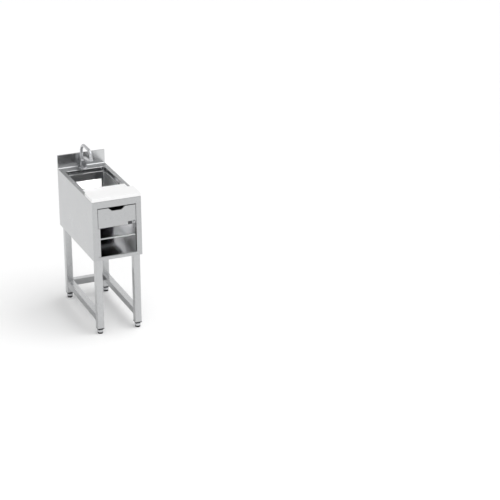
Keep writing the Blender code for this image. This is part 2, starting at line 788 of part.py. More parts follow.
def build_bowl():
    """The basin: a rim under the worktop's lip, tapered walls, a round-edged floor and a sump."""
    ledge = rounded_rectangle(
        MOUTH_WIDTH / 2 - BOWL_LEDGE + BOWL_RIM,
        MOUTH_LENGTH / 2 - BOWL_LEDGE + BOWL_RIM,
        MOUTH_FRONT_RADIUS - BOWL_LEDGE + BOWL_RIM,
        MOUTH_REAR_RADIUS - BOWL_LEDGE + BOWL_RIM,
    )

    def inset_ring(inset):
        return rounded_rectangle(
            MOUTH_WIDTH / 2 - BOWL_LEDGE - inset,
            MOUTH_LENGTH / 2 - BOWL_LEDGE - inset,
            MOUTH_FRONT_RADIUS - BOWL_LEDGE,
            MOUTH_REAR_RADIUS - BOWL_LEDGE,
        )

    rings = [(ledge, BOWL_TOP), (inset_ring(0), BOWL_TOP)]
    for step in range(CORNER_STEPS + 1):
        angle = QUARTER * step / CORNER_STEPS
        inset = BOWL_TAPER + BOWL_FLOOR_RADIUS * (1 - math.cos(angle))
        height = BOWL_FLOOR + BOWL_FLOOR_RADIUS * (1 - math.sin(angle))
        rings.append((inset_ring(inset), height))
    rings += [
        (round_ring(SUMP_RADIUS, DRAIN_SETBACK), BOWL_FLOOR),
        (round_ring(SUMP_RADIUS - SUMP_DRAFT, DRAIN_SETBACK), SUMP_FLOOR),
        (round_ring(DRAIN_HOLE_RADIUS, DRAIN_SETBACK), SUMP_FLOOR),
    ]
    bm = bmesh.new()
    rows = [[bm.verts.new((x, y, height)) for x, y in ring] for ring, height in rings]
    for upper, lower in zip(rows, rows[1:]):
        for index in range(len(upper)):
            bm.faces.new((upper[index - 1], upper[index], lower[index], lower[index - 1]))
    bowl = add_part(
        "basin_bowl", mesh_from(bm, "basin_bowl"), "polished_steel", (0, MOUTH_CENTRE, 0), smooth=True
    )
    solidify(bowl, BOWL_SHEET)


def build_nut(name, finish, radius, bore, heights, place_y):
    """A hexagonal nut on the station's middle plane, between two heights."""
    low, high = heights
    mesh = cylinder_mesh(name, radius, high - low, HEX_STEPS)
    nut = add_part(name, mesh, finish, (0, place_y, (low + high) / 2))
    hole = cylinder_guide(
        name + "_bore", bore, low - CUT_OVERRUN, high + CUT_OVERRUN, (0, place_y), FINE_STEPS
    )
    boolean(nut, hole, "DIFFERENCE")


def build_waste():
    """The basin's waste: flange with its strainer, gasket, nut, bottle trap, cup and outlet."""
    place = (0, DRAIN_Y, 0)
    rim_top = SUMP_FLOOR + SEAM + WASTE_RIM_HEIGHT
    rim_under = SUMP_FLOOR + SEAM
    tail_end = rim_top - WASTE_TAIL_LENGTH
    flange = [
        (WASTE_RIM_RADIUS, rim_top),
        (WASTE_RIM_RADIUS, rim_under),
        (WASTE_TAIL_RADIUS, rim_under),
        (WASTE_TAIL_RADIUS, tail_end),
        (WASTE_BORE_RADIUS, tail_end),
        (WASTE_BORE_RADIUS, rim_top - WASTE_RIM_HEIGHT),
        (WASTE_BORE_RADIUS + WASTE_RIM_HEIGHT, rim_top),
    ]
    waste = turned_part("waste_flange", flange, "chrome", place, closed=True)
    top = rim_top - STRAINER_DROP
    radius = (WASTE_BORE_RADIUS + WASTE_TAIL_RADIUS) / 2
    holes = [(circle((0, 0), STRAINER_HOLE_RADIUS, SMALL_STEPS), 0)]
    for centre in circle((0, 0), STRAINER_HOLE_PITCH, STRAINER_HOLES):
        holes.append((circle(centre, STRAINER_HOLE_RADIUS, SMALL_STEPS), 0))
    mesh = sheet_mesh("strainer", circle((0, 0), radius), 0, holes)
    strainer = add_guide("strainer", mesh, (0, DRAIN_Y, top))
    solidify(strainer, STRAINER_SHEET)
    boolean(waste, strainer, "UNION")

    gasket_top = SUMP_UNDER - SEAM
    gasket_low = gasket_top - GASKET_HEIGHT
    bore = WASTE_TAIL_RADIUS + SEAM
    gasket = ring_profile(GASKET_RADIUS, bore, gasket_low, gasket_top)
    turned_part("waste_gasket", gasket, "rubber", place, closed=True)
    nut_top = gasket_low - SEAM
    heights = (nut_top - WASTE_NUT_HEIGHT, nut_top)
    build_nut("waste_nut", "grey_plastic", WASTE_NUT_RADIUS, bore, heights, DRAIN_Y)

    collar_top = nut_top - WASTE_NUT_HEIGHT - SEAM
    shoulder = collar_top - TRAP_COLLAR_HEIGHT
    trap_low = shoulder - TRAP_SHOULDER - TRAP_HEIGHT
    trap = [
        (TRAP_COLLAR_RADIUS, collar_top),
        (TRAP_COLLAR_RADIUS, shoulder),
        (TRAP_RADIUS, shoulder - TRAP_SHOULDER),
        (TRAP_RADIUS, trap_low),
        (TRAP_RADIUS - TRAP_WALL, trap_low),
        (TRAP_RADIUS - TRAP_WALL, shoulder - TRAP_SHOULDER),
        (bore, shoulder),
        (bore, collar_top),
    ]
    body = turned_part("trap_body", trap, "grey_plastic", place, closed=True)
    outlet_z = shoulder - TRAP_SHOULDER - TRAP_OUTLET_DROP
    along = (QUARTER, 0, 0)
    for name, radius, low, high, operation in (
        ("trap_boss", TRAP_BOSS_RADIUS, TRAP_BOSS_START, TRAP_BOSS_REACH, "UNION"),
        ("trap_side_hole", TRAP_OUTLET_BORE, 0, TRAP_BOSS_REACH + CUT_OVERRUN, "DIFFERENCE"),
    ):
        mesh = cylinder_mesh(name, radius, high - low)
        guide = add_guide(name, mesh, (0, DRAIN_Y + (low + high) / 2, outlet_z), along)
        boolean(body, guide, operation)

    cup_top = trap_low - SEAM
    cup_low = cup_top - TRAP_CUP_HEIGHT
    cup = [
        (TRAP_CUP_RADIUS, cup_top),
        (TRAP_CUP_RADIUS, cup_low + TRAP_CUP_CORNER),
        (TRAP_CUP_RADIUS - TRAP_CUP_CORNER, cup_low),
        (0, cup_low),
        (0, cup_low + TRAP_WALL),
        (TRAP_CUP_RADIUS - TRAP_CUP_CORNER - TRAP_WALL, cup_low + TRAP_WALL),
        (TRAP_CUP_RADIUS - TRAP_WALL, cup_low + TRAP_CUP_CORNER),
        (TRAP_CUP_RADIUS - TRAP_WALL, cup_top),
    ]
    cup = [*cup[4:], *cup[:4]]
    turned_part("trap_cup", cup, "grey_plastic", place)

    start = DRAIN_Y + TRAP_BOSS_REACH + SEAM
    length = BACK - TRAP_OUTLET_REAR - start
    outlet = ring_profile(TRAP_OUTLET_RADIUS, TRAP_OUTLET_BORE, 0, length)
    turned_part(
        "trap_outlet", outlet, "grey_plastic", (0, start, outlet_z), (-QUARTER, 0, 0), closed=True
    )


def build_niche():
    """The open niche: its liner, the mid shelf and the angle that carries the shelf."""
    size = (NICHE_RIGHT - NICHE_LEFT, NICHE_DEPTH, NICHE_CEILING - NICHE_FLOOR)
    bm = open_box_mesh("niche_liner", size, ("front",))
    for x, reach in ((0, -NICHE_LEFT_FLANGE), (size[0], NICHE_RIGHT_FLANGE)):
        edges = [
            edge
            for edge in bm.edges
            if all(abs(v.co.x - x) < SEAM and abs(v.co.y) < SEAM for v in edge.verts)
        ]
        draw_out(bm, edges, (reach, 0, 0))
    floor = min(bm.faces, key=lambda face: face.calc_center_median().z)
    if floor.normal.z < 0:
        bmesh.ops.reverse_faces(bm, faces=bm.faces)
    mesh = mesh_from(bm, "niche_liner")
    liner = add_part("niche_liner", mesh, "polished_steel", (NICHE_LEFT, NICHE_FRONT, NICHE_FLOOR))
    solidify(liner, LINER_SHEET)

    left = NICHE_LEFT + SEAM
    right = NICHE_RIGHT - SEAM
    depth = NICHE_DEPTH - SHELF_SETBACK - SHELF_REAR_GAP
    path = [
        (SHELF_FRONT, SHELF_TOP - SHELF_LIP),
        (SHELF_FRONT, SHELF_TOP),
        (SHELF_FRONT + depth, SHELF_TOP),
    ]
    mesh = folded_mesh("niche_shelf", path, right - left)
    shelf = add_part("niche_shelf", mesh, "polished_steel", (right, 0, 0), (0, 0, QUARTER))
    solidify(shelf, LINER_SHEET)

    bm = bmesh.new()
    rear = NICHE_FRONT + NICHE_DEPTH - SEAM
    front = SHELF_FRONT + LEDGE_SETBACK
    run = [(left, front), (left, rear), (right, rear), (right, front)]
    run += [(right - LEDGE_WIDTH, front), (right - LEDGE_WIDTH, rear - LEDGE_WIDTH)]
    run += [(left + LEDGE_WIDTH, rear - LEDGE_WIDTH), (left + LEDGE_WIDTH, front)]
    verts = [bm.verts.new((x, y, 0)) for x, y in run]
    bm.faces.new(verts)
    bm.edges.ensure_lookup_table()
    outer = [edge for edge in bm.edges if set(edge.verts) <= set(verts[:4])]
    draw_out(bm, outer, (0, 0, -LEDGE_HEIGHT))
    face_up(bm)
    ledge_top = SHELF_TOP - LINER_SHEET - SEAM
    mesh = mesh_from(bm, "shelf_ledge")
    ledge = add_part("shelf_ledge", mesh, "polished_steel", (0, 0, ledge_top))
    solidify(ledge, LINER_SHEET)


def build_drawer_housing():
    """The fixed box that the drawer runs in, and its two fixed runners."""
    start = FRONT + OPENING_LIP + SEAM
    size = (2 * HOUSING_SIDE, FRONT + HOUSING_REAR - start, BODY_TOP - HOUSING_FLOOR)
    bm = open_box_mesh("drawer_housing", size, ("front", "top"))
    mesh = mesh_from(bm, "drawer_housing")
    housing = add_part("drawer_housing", mesh, "satin_steel", (-HOUSING_SIDE, start, HOUSING_FLOOR))
    solidify(housing, LINER_SHEET)

    outer = HOUSING_SIDE - SEAM
    for name, side in (("drawer_runner_left", -1), ("drawer_runner_right", 1)):
        path = [
            (side * (outer - RUNNER_WIDTH), RUNNER_TOP),
            (side * outer, RUNNER_TOP),
            (side * outer, RUNNER_TOP - RUNNER_HEIGHT),
            (side * (outer - RUNNER_WIDTH), RUNNER_TOP - RUNNER_HEIGHT),
        ]
        mesh = folded_mesh(name, path, RUNNER_LENGTH, side)
        runner = add_part(name, mesh, "satin_steel", (0, FRONT + RUNNER_SETBACK, 0))
        solidify(runner, PANEL_SHEET)


def drawer_outline(middle):
    """The drawer front's outline with its finger notch, about its own middle height."""
    top = DRAWER_TOP - middle
    low = DRAWER_BOTTOM - middle
    return [
        (-DRAWER_SIDE, low),
        (DRAWER_SIDE, low),
        (DRAWER_SIDE, top),
        (NOTCH_TOP_WIDTH / 2, top),
        (NOTCH_BOTTOM_WIDTH / 2, top - NOTCH_DEPTH),
        (-NOTCH_BOTTOM_WIDTH / 2, top - NOTCH_DEPTH),
        (-NOTCH_TOP_WIDTH / 2, top),
        (-DRAWER_SIDE, top),
    ]


def build_drawer():
    """The drawer: its folded front, its box, its slides, the bare plate and the wire bail."""
    middle = (DRAWER_TOP + DRAWER_BOTTOM) / 2
    mesh = sheet_mesh("drawer_front", drawer_outline(middle), DRAWER_RETURN)
    front = add_part("drawer_front", mesh, "satin_steel", (0, DRAWER_FACE, middle), (QUARTER, 0, 0))
    solidify(front, PANEL_SHEET)

    box_top = WORK_HEIGHT - DRAWER_BOX_TOP
    size = (
        DRAWER_BOX_WIDTH - 2 * LINER_SHEET,
        DRAWER_BOX_LENGTH - 2 * LINER_SHEET,
        box_top - DRAWER_BOX_FLOOR - LINER_SHEET,
    )
    bm = open_box_mesh("drawer_box", size, ("top",))
    corner = (-size[0] / 2, DRAWER_BOX_FRONT + LINER_SHEET, DRAWER_BOX_FLOOR + LINER_SHEET)
    box = add_part("drawer_box", mesh_from(bm, "drawer_box"), "polished_steel", corner)
    solidify(box, LINER_SHEET)

    top = RUNNER_TOP - PANEL_SHEET - SLIDE_CLEARANCE
    low = RUNNER_TOP - RUNNER_HEIGHT + PANEL_SHEET + SLIDE_CLEARANCE
    inner = DRAWER_BOX_SIDE + SEAM
    outer = HOUSING_SIDE - SEAM - PANEL_SHEET - SLIDE_END_CLEARANCE
    slides = []
    for name, side in (("drawer_slide_left", -1), ("drawer_slide_right", 1)):
        path = [(side * outer, top), (side * inner, top), (side * inner, low), (side * outer, low)]
        mesh = folded_mesh(name, path, SLIDE_LENGTH, -side)
        slide = add_part(name, mesh, "satin_steel", (0, FRONT + RUNNER_SETBACK, 0))
        solidify(slide, PANEL_SHEET)
        slides.append(slide)

    plate_right = DRAWER_SIDE - PLATE_RIGHT
    plate_low = DRAWER_BOTTOM + PLATE_RISE
    plate_back = DRAWER_FACE - SEAM
    plate = box_part(
        "front_plate",
        (plate_right - PLATE_WIDTH, plate_back - PLATE_THICKNESS, plate_low),
        (plate_right, plate_back, plate_low + PLATE_HEIGHT),
        "dark_plate",
    )

    pivot = bail_pivot()
    half = BAIL_WIDTH / 2
    drop = BAIL_LENGTH
    corner = BAIL_CORNER
    left = arc((corner - half, -corner), corner, 2 * QUARTER, QUARTER, CORNER_STEPS)
    right = arc((half - corner, -corner), corner, QUARTER, 0, CORNER_STEPS)
    points = [(-half, -drop), *left, *right, (half, -drop)]
    bail = curve_object(
        "wire_bail", [(x, 0, z) for x, z in points], BAIL_WIRE_RADIUS, WIRE_BEVEL_RESOLUTION
    )
    bail.location = pivot
    bail.data.materials.append(own_material("wire_bail", "chrome"))

    half = EAR_SPREAD / 2
    path = [(-half, EAR_DEPTH), (-half, 0), (half, 0), (half, EAR_DEPTH)]
    mesh = folded_mesh("bail_bracket", path, EAR_HEIGHT, -1)
    place = (pivot[0], DRAWER_FACE - SEAM, pivot[2] - EAR_HEIGHT / 2)
    bracket = add_part("bail_bracket", mesh, "chrome", place, (QUARTER, 0, 0))
    solidify(bracket, EAR_SHEET)
    bore = cylinder_mesh(
        "ear_bore", BAIL_WIRE_RADIUS + EAR_BORE_CLEARANCE, BAIL_WIDTH, SMALL_STEPS
    )
    boolean(bracket, add_guide("ear_bore", bore, pivot, (0, QUARTER, 0)), "DIFFERENCE")
    hold("drawer", (0, DRAWER_FACE, middle), [front, box, *slides, plate, bracket, bail])


def bail_pivot():
    """The centre of the bail's top bar, which its hinge's axis runs along."""
    x = DRAWER_SIDE - BAIL_RIGHT - BAIL_WIRE_RADIUS - BAIL_WIDTH / 2
    return (x, DRAWER_FACE - SEAM - BAIL_STANDOFF, DRAWER_BOTTOM + BAIL_RISE)


def build_board():
    """The white board with its finger notch and the blind holes that its pins go into."""
    half_depth = BOARD_DEPTH / 2
    outline = [
        (-SIDE, -half_depth),
        (SIDE, -half_depth),
        (SIDE, half_depth),
        (BOARD_NOTCH_WIDTH / 2, half_depth),
        (BOARD_NOTCH_INNER / 2, half_depth - BOARD_NOTCH_DEPTH),
        (-BOARD_NOTCH_INNER / 2, half_depth - BOARD_NOTCH_DEPTH),
        (-BOARD_NOTCH_WIDTH / 2, half_depth),
        (-SIDE, half_depth),
    ]
    mesh = sheet_mesh("cutting_board", outline)
    place = (0, BOARD_BACK - half_depth, BOARD_BASE + BOARD_THICKNESS)
    board = add_part("cutting_board", mesh, "white_board", place)
    solidify(board, BOARD_THICKNESS)
    bevel(board, BOARD_EDGE)
    for name, x in (("left", -PIN_SPREAD / 2), ("right", PIN_SPREAD / 2)):
        hole = cylinder_guide(
            "pin_hole_" + name, PIN_HOLE_RADIUS, BOARD_BASE - CUT_OVERRUN,
            BOARD_BASE + PIN_HOLE_DEPTH, (x, place[1]), SMALL_STEPS,
        )
        boolean(board, hole, "DIFFERENCE")


def build_card():
    """The bare white card that stands in the basin on a bent foot."""
    base = BOWL_FLOOR + SEAM
    path = [(CARD_FACE, base + CARD_HEIGHT), (CARD_FACE, base), (CARD_FACE + CARD_FOOT, base)]
    mesh = folded_mesh("basin_card", path, CARD_WIDTH, -1)
    card = add_part("basin_card", mesh, "white_card", (CARD_WIDTH / 2, 0, 0), (0, 0, QUARTER))
    solidify(card, CARD_THICKNESS)


def build_tap_body():
    """The tap's base on its shank, its body and cartridge, and what clamps it down."""
    place = (0, TAP_Y, WORK_HEIGHT)
    base = [
        (0, TAP_BASE_HEIGHT),
        (TAP_BASE_RADIUS - TAP_BASE_EDGE, TAP_BASE_HEIGHT),
        (TAP_BASE_RADIUS, TAP_BASE_HEIGHT - TAP_BASE_EDGE),
        (TAP_BASE_RADIUS, SEAM),
        (SHANK_RADIUS, SEAM),
        (SHANK_RADIUS, -SHANK_DROP),
        (0, -SHANK_DROP),
    ]
    turned_part("tap_base", base, "chrome", place, steps=FINE_STEPS)
    body = [
        (0, TAP_BODY_TOP),
        (TAP_RADIUS, TAP_BODY_TOP),
        (TAP_RADIUS, TAP_NECK_TOP),
        (TAP_NECK_RADIUS, TAP_NECK_TOP),
        (TAP_NECK_RADIUS, TAP_BARREL_TOP),
        (TAP_RADIUS, TAP_BARREL_TOP),
        (TAP_RADIUS, TAP_BASE_HEIGHT + SEAM),
        (0, TAP_BASE_HEIGHT + SEAM),
    ]
    turned_part("tap_body", body, "chrome", place, steps=FINE_STEPS)
    centre = (0, TAP_DOME_CENTRE)
    dome = arc(centre, TAP_DOME_RADIUS, QUARTER, SEAM / TAP_DOME_RADIUS - DOME_BASE, DOME_STEPS)
    dome = [(max(radius, 0), height) for radius, height in dome]
    dome[0] = (0, TAP_DOME_CENTRE + TAP_DOME_RADIUS)
    dome.append((0, dome[-1][1]))
    turned_part("tap_cartridge", dome, "chrome", place, steps=FINE_STEPS)

    washer_top = -DECK_SHEET - SEAM
    washer_low = washer_top - SHANK_WASHER_HEIGHT
    bore = SHANK_RADIUS + SHANK_FIT
    washer = ring_profile(SHANK_WASHER_RADIUS, bore, washer_low, washer_top)
    turned_part("tap_washer", washer, "rubber", place, closed=True)
    nut_top = WORK_HEIGHT + washer_low - SEAM
    heights = (nut_top - SHANK_NUT_HEIGHT, nut_top)
    build_nut("tap_nut", "chrome", SHANK_NUT_RADIUS, bore, heights, TAP_Y)


def spout_path():
    """The spout's centre line, as (forward, up) points from the tap's axis and the worktop."""
    bend = SPOUT_OFFSET - SPOUT_START
    elbow = arc((SPOUT_START, SPOUT_LEVEL + bend), bend, -QUARTER, 0, SPOUT_ELBOW_STEPS)
    mouth = SPOUT_OFFSET - SPOUT_SPAN
    rear = (SPOUT_OFFSET - SPOUT_REAR_BEND, SPOUT_TOP - SPOUT_REAR_BEND)
    front = (mouth + SPOUT_FRONT_BEND, SPOUT_TOP - SPOUT_FRONT_BEND)
    return [
        *elbow,
        *arc(rear, SPOUT_REAR_BEND, 0, QUARTER, SPOUT_BEND_STEPS),
        *arc(front, SPOUT_FRONT_BEND, QUARTER, 2 * QUARTER, SPOUT_BEND_STEPS),
        (mouth, front[1] - SPOUT_TAIL),
    ]


def build_spout():
    """The swivelling spout on its collar, and the outlet in its mouth."""
    place = Vector((0, TAP_Y, WORK_HEIGHT))
    bore = TAP_NECK_RADIUS + COLLAR_CLEARANCE
    low = TAP_BARREL_TOP + COLLAR_CLEARANCE
    high = TAP_NECK_TOP - COLLAR_CLEARANCE
    collar = [
        (COLLAR_RADIUS - COLLAR_EDGE, high),
        (COLLAR_RADIUS, high - COLLAR_EDGE),
        (COLLAR_RADIUS, low + COLLAR_EDGE),
        (COLLAR_RADIUS - COLLAR_EDGE, low),
        (bore, low),
        (bore, high),
    ]
    spout = turned_part("tap_spout", collar, "chrome", place, steps=FINE_STEPS, closed=True)
    path = spout_path()
    tube = curve_object(
        "spout_tube", [(0, y, z) for y, z in path], SPOUT_RADIUS, SPOUT_BEVEL_RESOLUTION
    )
    boolean(spout, add_guide("spout_tube", mesh_of_curve(tube), place), "UNION")

    end = Vector((0, *path[-1]))
    outlet = [
        (0, -SEAM),
        (AERATOR_RADIUS - AERATOR_LIP, -SEAM),
        (AERATOR_RADIUS, -SEAM - AERATOR_LIP),
        (AERATOR_RADIUS, -AERATOR_LENGTH),
        (AERATOR_RADIUS - 2 * AERATOR_LIP, -AERATOR_LENGTH),
        (AERATOR_RADIUS - 2 * AERATOR_LIP, AERATOR_LIP - AERATOR_LENGTH),
        (0, AERATOR_LIP - AERATOR_LENGTH),
    ]
    aerator = turned_part("tap_aerator", outlet, "chrome", place + end)
    hold("spout_swivel", place, [spout, aerator])


def build_lever():
    """The lever handle: a shell over the cartridge's dome with a tapered arm to the front."""
    pivot = Vector((0, TAP_Y, WORK_HEIGHT + TAP_DOME_CENTRE))
    inner = TAP_DOME_RADIUS + LEVER_CLEARANCE
    outer = inner + LEVER_SHELL
    low = QUARTER - LEVER_SHELL_SPREAD
    outside = arc((0, 0), outer, QUARTER, low, DOME_STEPS)
    inside = arc((0, 0), inner, low, QUARTER, DOME_STEPS)
    outside[0] = (0, outer)
    inside[-1] = (0, inner)
    lever = turned_part("tap_lever", outside + inside, "chrome", pivot, steps=FINE_STEPS)

    bm = bmesh.new()
    bmesh.ops.create_cube(bm, size=1)
    root_y = -LEVER_ROOT
    tip_y = -LEVER_REACH
    level = LEVER_LEVEL - TAP_DOME_CENTRE
    for vert in bm.verts:
        tip = vert.co.y < 0
        thickness = LEVER_TIP_THICKNESS if tip else LEVER_THICKNESS
        rise = LEVER_RISE if tip else 0
        vert.co.x *= LEVER_TIP_WIDTH if tip else LEVER_WIDTH
        vert.co.y = tip_y if tip else root_y
        vert.co.z = level + rise + (thickness if vert.co.z > 0 else 0)
    upright = [edge for edge in bm.edges if abs(edge.verts[0].co.z - edge.verts[1].co.z) > LEVER_EDGE]
    tips = [edge for edge in upright if edge.verts[0].co.y < (root_y + tip_y) / 2]
    tips = [edge for edge in tips if abs(edge.verts[0].co.y - edge.verts[1].co.y) < LEVER_EDGE]
    bmesh.ops.bevel(
        bm,
        geom=tips,
        offset=LEVER_TIP_CORNER,
        offset_type="OFFSET",
        segments=CORNER_STEPS,
        profile=ROUND_PROFILE_SHARE,
        affect="EDGES",
    )
    arm = add_guide("lever_arm", mesh_from(bm, "lever_arm"), pivot)
    bevel(arm, LEVER_EDGE)
    seat = inner + LEVER_SHELL / 2
    ball = arc((0, 0), seat, QUARTER, -QUARTER, 2 * DOME_STEPS)
    ball = [(0, seat), *ball[1:-1], (0, -seat)]
    room = add_guide("dome_room", turned_mesh("dome_room", ball), pivot)
    screw(room, FINE_STEPS)
    boolean(arm, room, "DIFFERENCE")
    boolean(lever, arm, "UNION")


def build_leg(name, centre):
    """A leg with its bolting plate, its cap, its threaded stem and its pad."""
    x, y = centre
    inward = -math.copysign(1, x)
    half = TUBE_SIZE / 2
    plate_low = LEG_TOP - LEG_PLATE_THICKNESS
    tube_top = plate_low + LEG_PLATE_THICKNESS / 2
    mesh = tube_mesh("leg_" + name, tube_top - LEG_BOTTOM)
    leg = add_part("leg_" + name, mesh, "satin_steel", (x, y, LEG_BOTTOM))
    solidify(leg, TUBE_WALL)
    reach = x + inward * (half + LEG_PLATE_REACH)
    outer = x - inward * half
    plate = box_guide(
        "plate_" + name,
        (min(reach, outer), y - half, plate_low),
        (max(reach, outer), y + half, LEG_TOP),
    )
    boolean(leg, plate, "UNION")
    hole = cylinder_guide(
        "bolt_hole_" + name, BOLT_HOLE_RADIUS, plate_low - CUT_OVERRUN, LEG_TOP + CUT_OVERRUN,
        bolt_place(centre), SMALL_STEPS,
    )
    boolean(leg, hole, "DIFFERENCE")

    flange_top = LEG_BOTTOM - SEAM
    flange_low = flange_top - CAP_FLANGE
    cap = box_part(
        "leg_cap_" + name,
        (x - half, y - half, flange_low),
        (x + half, y + half, flange_top),
        "black_plastic",
        CAP_EDGE,
    )
    plug_half = half - TUBE_WALL - SEAM
    plug = box_guide(
        "cap_plug_" + name,
        (x - plug_half, y - plug_half, flange_low + CAP_FLANGE / 2),
        (x + plug_half, y + plug_half, flange_top + CAP_PLUG),
    )
    bevel(plug, TUBE_CORNER)
    boolean(cap, plug, "UNION")
    bore = cylinder_guide(
        "cap_bore_" + name,
        STEM_RADIUS + STEM_BORE_CLEARANCE,
        flange_low - CUT_OVERRUN,
        flange_top + CAP_PLUG + CUT_OVERRUN,
        centre,
    )
    boolean(cap, bore, "DIFFERENCE")

    nut_base = PAD_HEIGHT - STEM_NUT_HEIGHT
    recess = nut_base - SEAM
    socket = recess - PAD_SOCKET_DEPTH
    stem = [
        (0, STEM_TOP),
        (STEM_RADIUS, STEM_TOP),
        (STEM_RADIUS, PAD_HEIGHT),
        (STEM_NUT_RADIUS, PAD_HEIGHT),
        (STEM_NUT_RADIUS, nut_base),
        (STEM_RADIUS, nut_base),
        (STEM_RADIUS, socket + SEAM),
        (0, socket + SEAM),
    ]
    turned_part("foot_stem_" + name, stem, "satin_steel", (x, y, 0), steps=2 * HEX_STEPS)
    bore_radius = STEM_RADIUS + STEM_BORE_CLEARANCE
    recess_radius = STEM_NUT_RADIUS + STEM_NUT_CLEARANCE
    pad = [
        (0, socket),
        (bore_radius, socket),
        (bore_radius, recess),
        (recess_radius, recess),
        (recess_radius, PAD_HEIGHT),
        (PAD_RADIUS - PAD_EDGE, PAD_HEIGHT),
        (PAD_RADIUS, PAD_HEIGHT - PAD_EDGE),
        (PAD_RADIUS, PAD_BASE_HEIGHT + PAD_SHOULDER),
        (PAD_BASE_RADIUS, PAD_BASE_HEIGHT),
        (PAD_BASE_RADIUS, 0),
        (0, 0),
    ]
    turned_part("foot_pad_" + name, pad, "satin_steel", (x, y, 0))


def build_bolt(name, centre):
    """The bolt and nut that hold a leg's plate under the bottom panel."""
    panel_top = BODY_BOTTOM + BOTTOM_RISE + PANEL_SHEET
    head_low = panel_top + SEAM
    nut_top = LEG_TOP - LEG_PLATE_THICKNESS - SEAM
    bolt = [
        (0, head_low + BOLT_HEAD_HEIGHT),
        (BOLT_HEAD_RADIUS, head_low + BOLT_HEAD_HEIGHT),
        (BOLT_HEAD_RADIUS, head_low),
        (BOLT_RADIUS, head_low),
        (BOLT_RADIUS, nut_top),
        (BOLT_HEAD_RADIUS, nut_top),
        (BOLT_HEAD_RADIUS, nut_top - BOLT_NUT_HEIGHT),
        (0, nut_top - BOLT_NUT_HEIGHT),
    ]
    x, y = bolt_place(centre)
    turned_part("leg_bolt_" + name, bolt, "satin_steel", (x, y, 0), steps=2 * HEX_STEPS)


def build_stretchers():
    """The square tubes that tie the legs together near the floor, open at the front."""
    level = STRETCHER_TOP - TUBE_SIZE / 2
    half = TUBE_SIZE / 2
    start = LEG_FRONT_Y + half + SEAM
    length = LEG_REAR_Y - half - SEAM - start
    for name, x in (("stretcher_left", -LEG_X), ("stretcher_right", LEG_X)):
        mesh = tube_mesh(name, length)
        tube = add_part(name, mesh, "satin_steel", (x, start, level), (-QUARTER, 0, 0))
        solidify(tube, TUBE_WALL)
    start = -LEG_X + half + SEAM
    mesh = tube_mesh("stretcher_rear", -2 * start)
    tube = add_part("stretcher_rear", mesh, "satin_steel", (start, LEG_REAR_Y, level), (0, QUARTER, 0))
    solidify(tube, TUBE_WALL)


def main():
    """Builds every sub-part of the station."""
    clear_scene()
    build_worktop()
    build_splashback()
    build_side_panels()
    build_front_frame()
    build_rear_panel()
    build_bottom_panel()
    build_bowl()
    build_waste()
    build_niche()
    build_drawer_housing()
    build_drawer()
    build_board()
    build_card()
    build_tap_body()
    build_spout()
    build_lever()
    for name, centre in LEGS.items():
        build_leg(name, centre)
        build_bolt(name, centre)
    build_stretchers()


main()
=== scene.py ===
"""Bar sink station in satin stainless steel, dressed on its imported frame.

Everything is in metres, +Z up, and the station's front faces -Y. The frame's nodes give each piece its
shape and its body. Here they get rounded edges, finer round parts, small fittings and their finishes,
and a studio is set round them.
"""

from __future__ import annotations

import json
import logging
import math
from dataclasses import dataclass
from enum import Enum
from typing import Callable, Iterable, Sequence

import bpy
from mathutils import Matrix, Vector

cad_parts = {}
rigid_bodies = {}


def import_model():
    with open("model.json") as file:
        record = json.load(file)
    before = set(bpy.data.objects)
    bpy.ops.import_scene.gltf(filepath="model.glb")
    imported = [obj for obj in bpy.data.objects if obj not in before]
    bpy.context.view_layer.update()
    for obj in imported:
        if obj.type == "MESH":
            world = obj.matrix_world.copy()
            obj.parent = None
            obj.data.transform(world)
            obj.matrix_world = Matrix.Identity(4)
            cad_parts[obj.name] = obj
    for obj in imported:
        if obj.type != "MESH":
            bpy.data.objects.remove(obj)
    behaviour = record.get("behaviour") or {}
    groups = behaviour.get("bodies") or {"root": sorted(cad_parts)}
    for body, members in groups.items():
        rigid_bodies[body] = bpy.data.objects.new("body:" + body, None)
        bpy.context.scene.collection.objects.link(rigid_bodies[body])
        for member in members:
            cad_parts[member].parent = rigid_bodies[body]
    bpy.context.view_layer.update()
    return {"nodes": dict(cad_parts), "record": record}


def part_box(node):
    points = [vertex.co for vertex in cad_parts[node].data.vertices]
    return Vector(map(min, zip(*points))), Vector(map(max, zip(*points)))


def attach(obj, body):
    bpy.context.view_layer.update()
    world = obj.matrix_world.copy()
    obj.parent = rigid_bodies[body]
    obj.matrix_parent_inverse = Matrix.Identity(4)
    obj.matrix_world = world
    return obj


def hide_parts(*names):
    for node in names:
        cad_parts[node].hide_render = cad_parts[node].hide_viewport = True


LOG = logging.getLogger("bar_sink_station")

# Points closer than this are one point.
WELD = 0.00001
# Neighbouring faces within this angle are one flat face.
FLAT_ANGLE = math.radians(0.5)
# Where faces meet at more than this angle, the edge is rounded.
EDGE_ANGLE = math.radians(30)
# Faces that meet at less than this angle are shaded as one.
SMOOTH_ANGLE = math.radians(50)
QUARTER = math.pi / 2

# How much of a face's normal has to lie along an axis for it to count as facing that way.
SQUARELY = 0.9
SLIGHTLY = 0.2

# How many faces go round a rounded edge, on a piece in full view and on a small one.
ROUND_STEPS = 3
SMALL_STEPS = 2
# How many faces go round a turned piece, round a tube, and round a ball and up it.
TURN_STEPS = 64
TUBE_STEPS = 40
BALL_STEPS = (96, 48)
# How strongly large faces pull the shading of the roundings beside them, in per cent.
FLAT_WEIGHT = 80

# Blender's noise keeps mostly between these two values.
NOISE_LOW = 0.3
NOISE_HIGH = 0.7
FINE_DETAIL = 3.0
CLOUD_DETAIL = 4.0
LEAST_ROUGHNESS = 0.02
RELIEF_DEPTH = 0.0002
MM_IN_METRE = 1000

# An area light that isn't narrowed.
FULL_SPREAD = 180.0

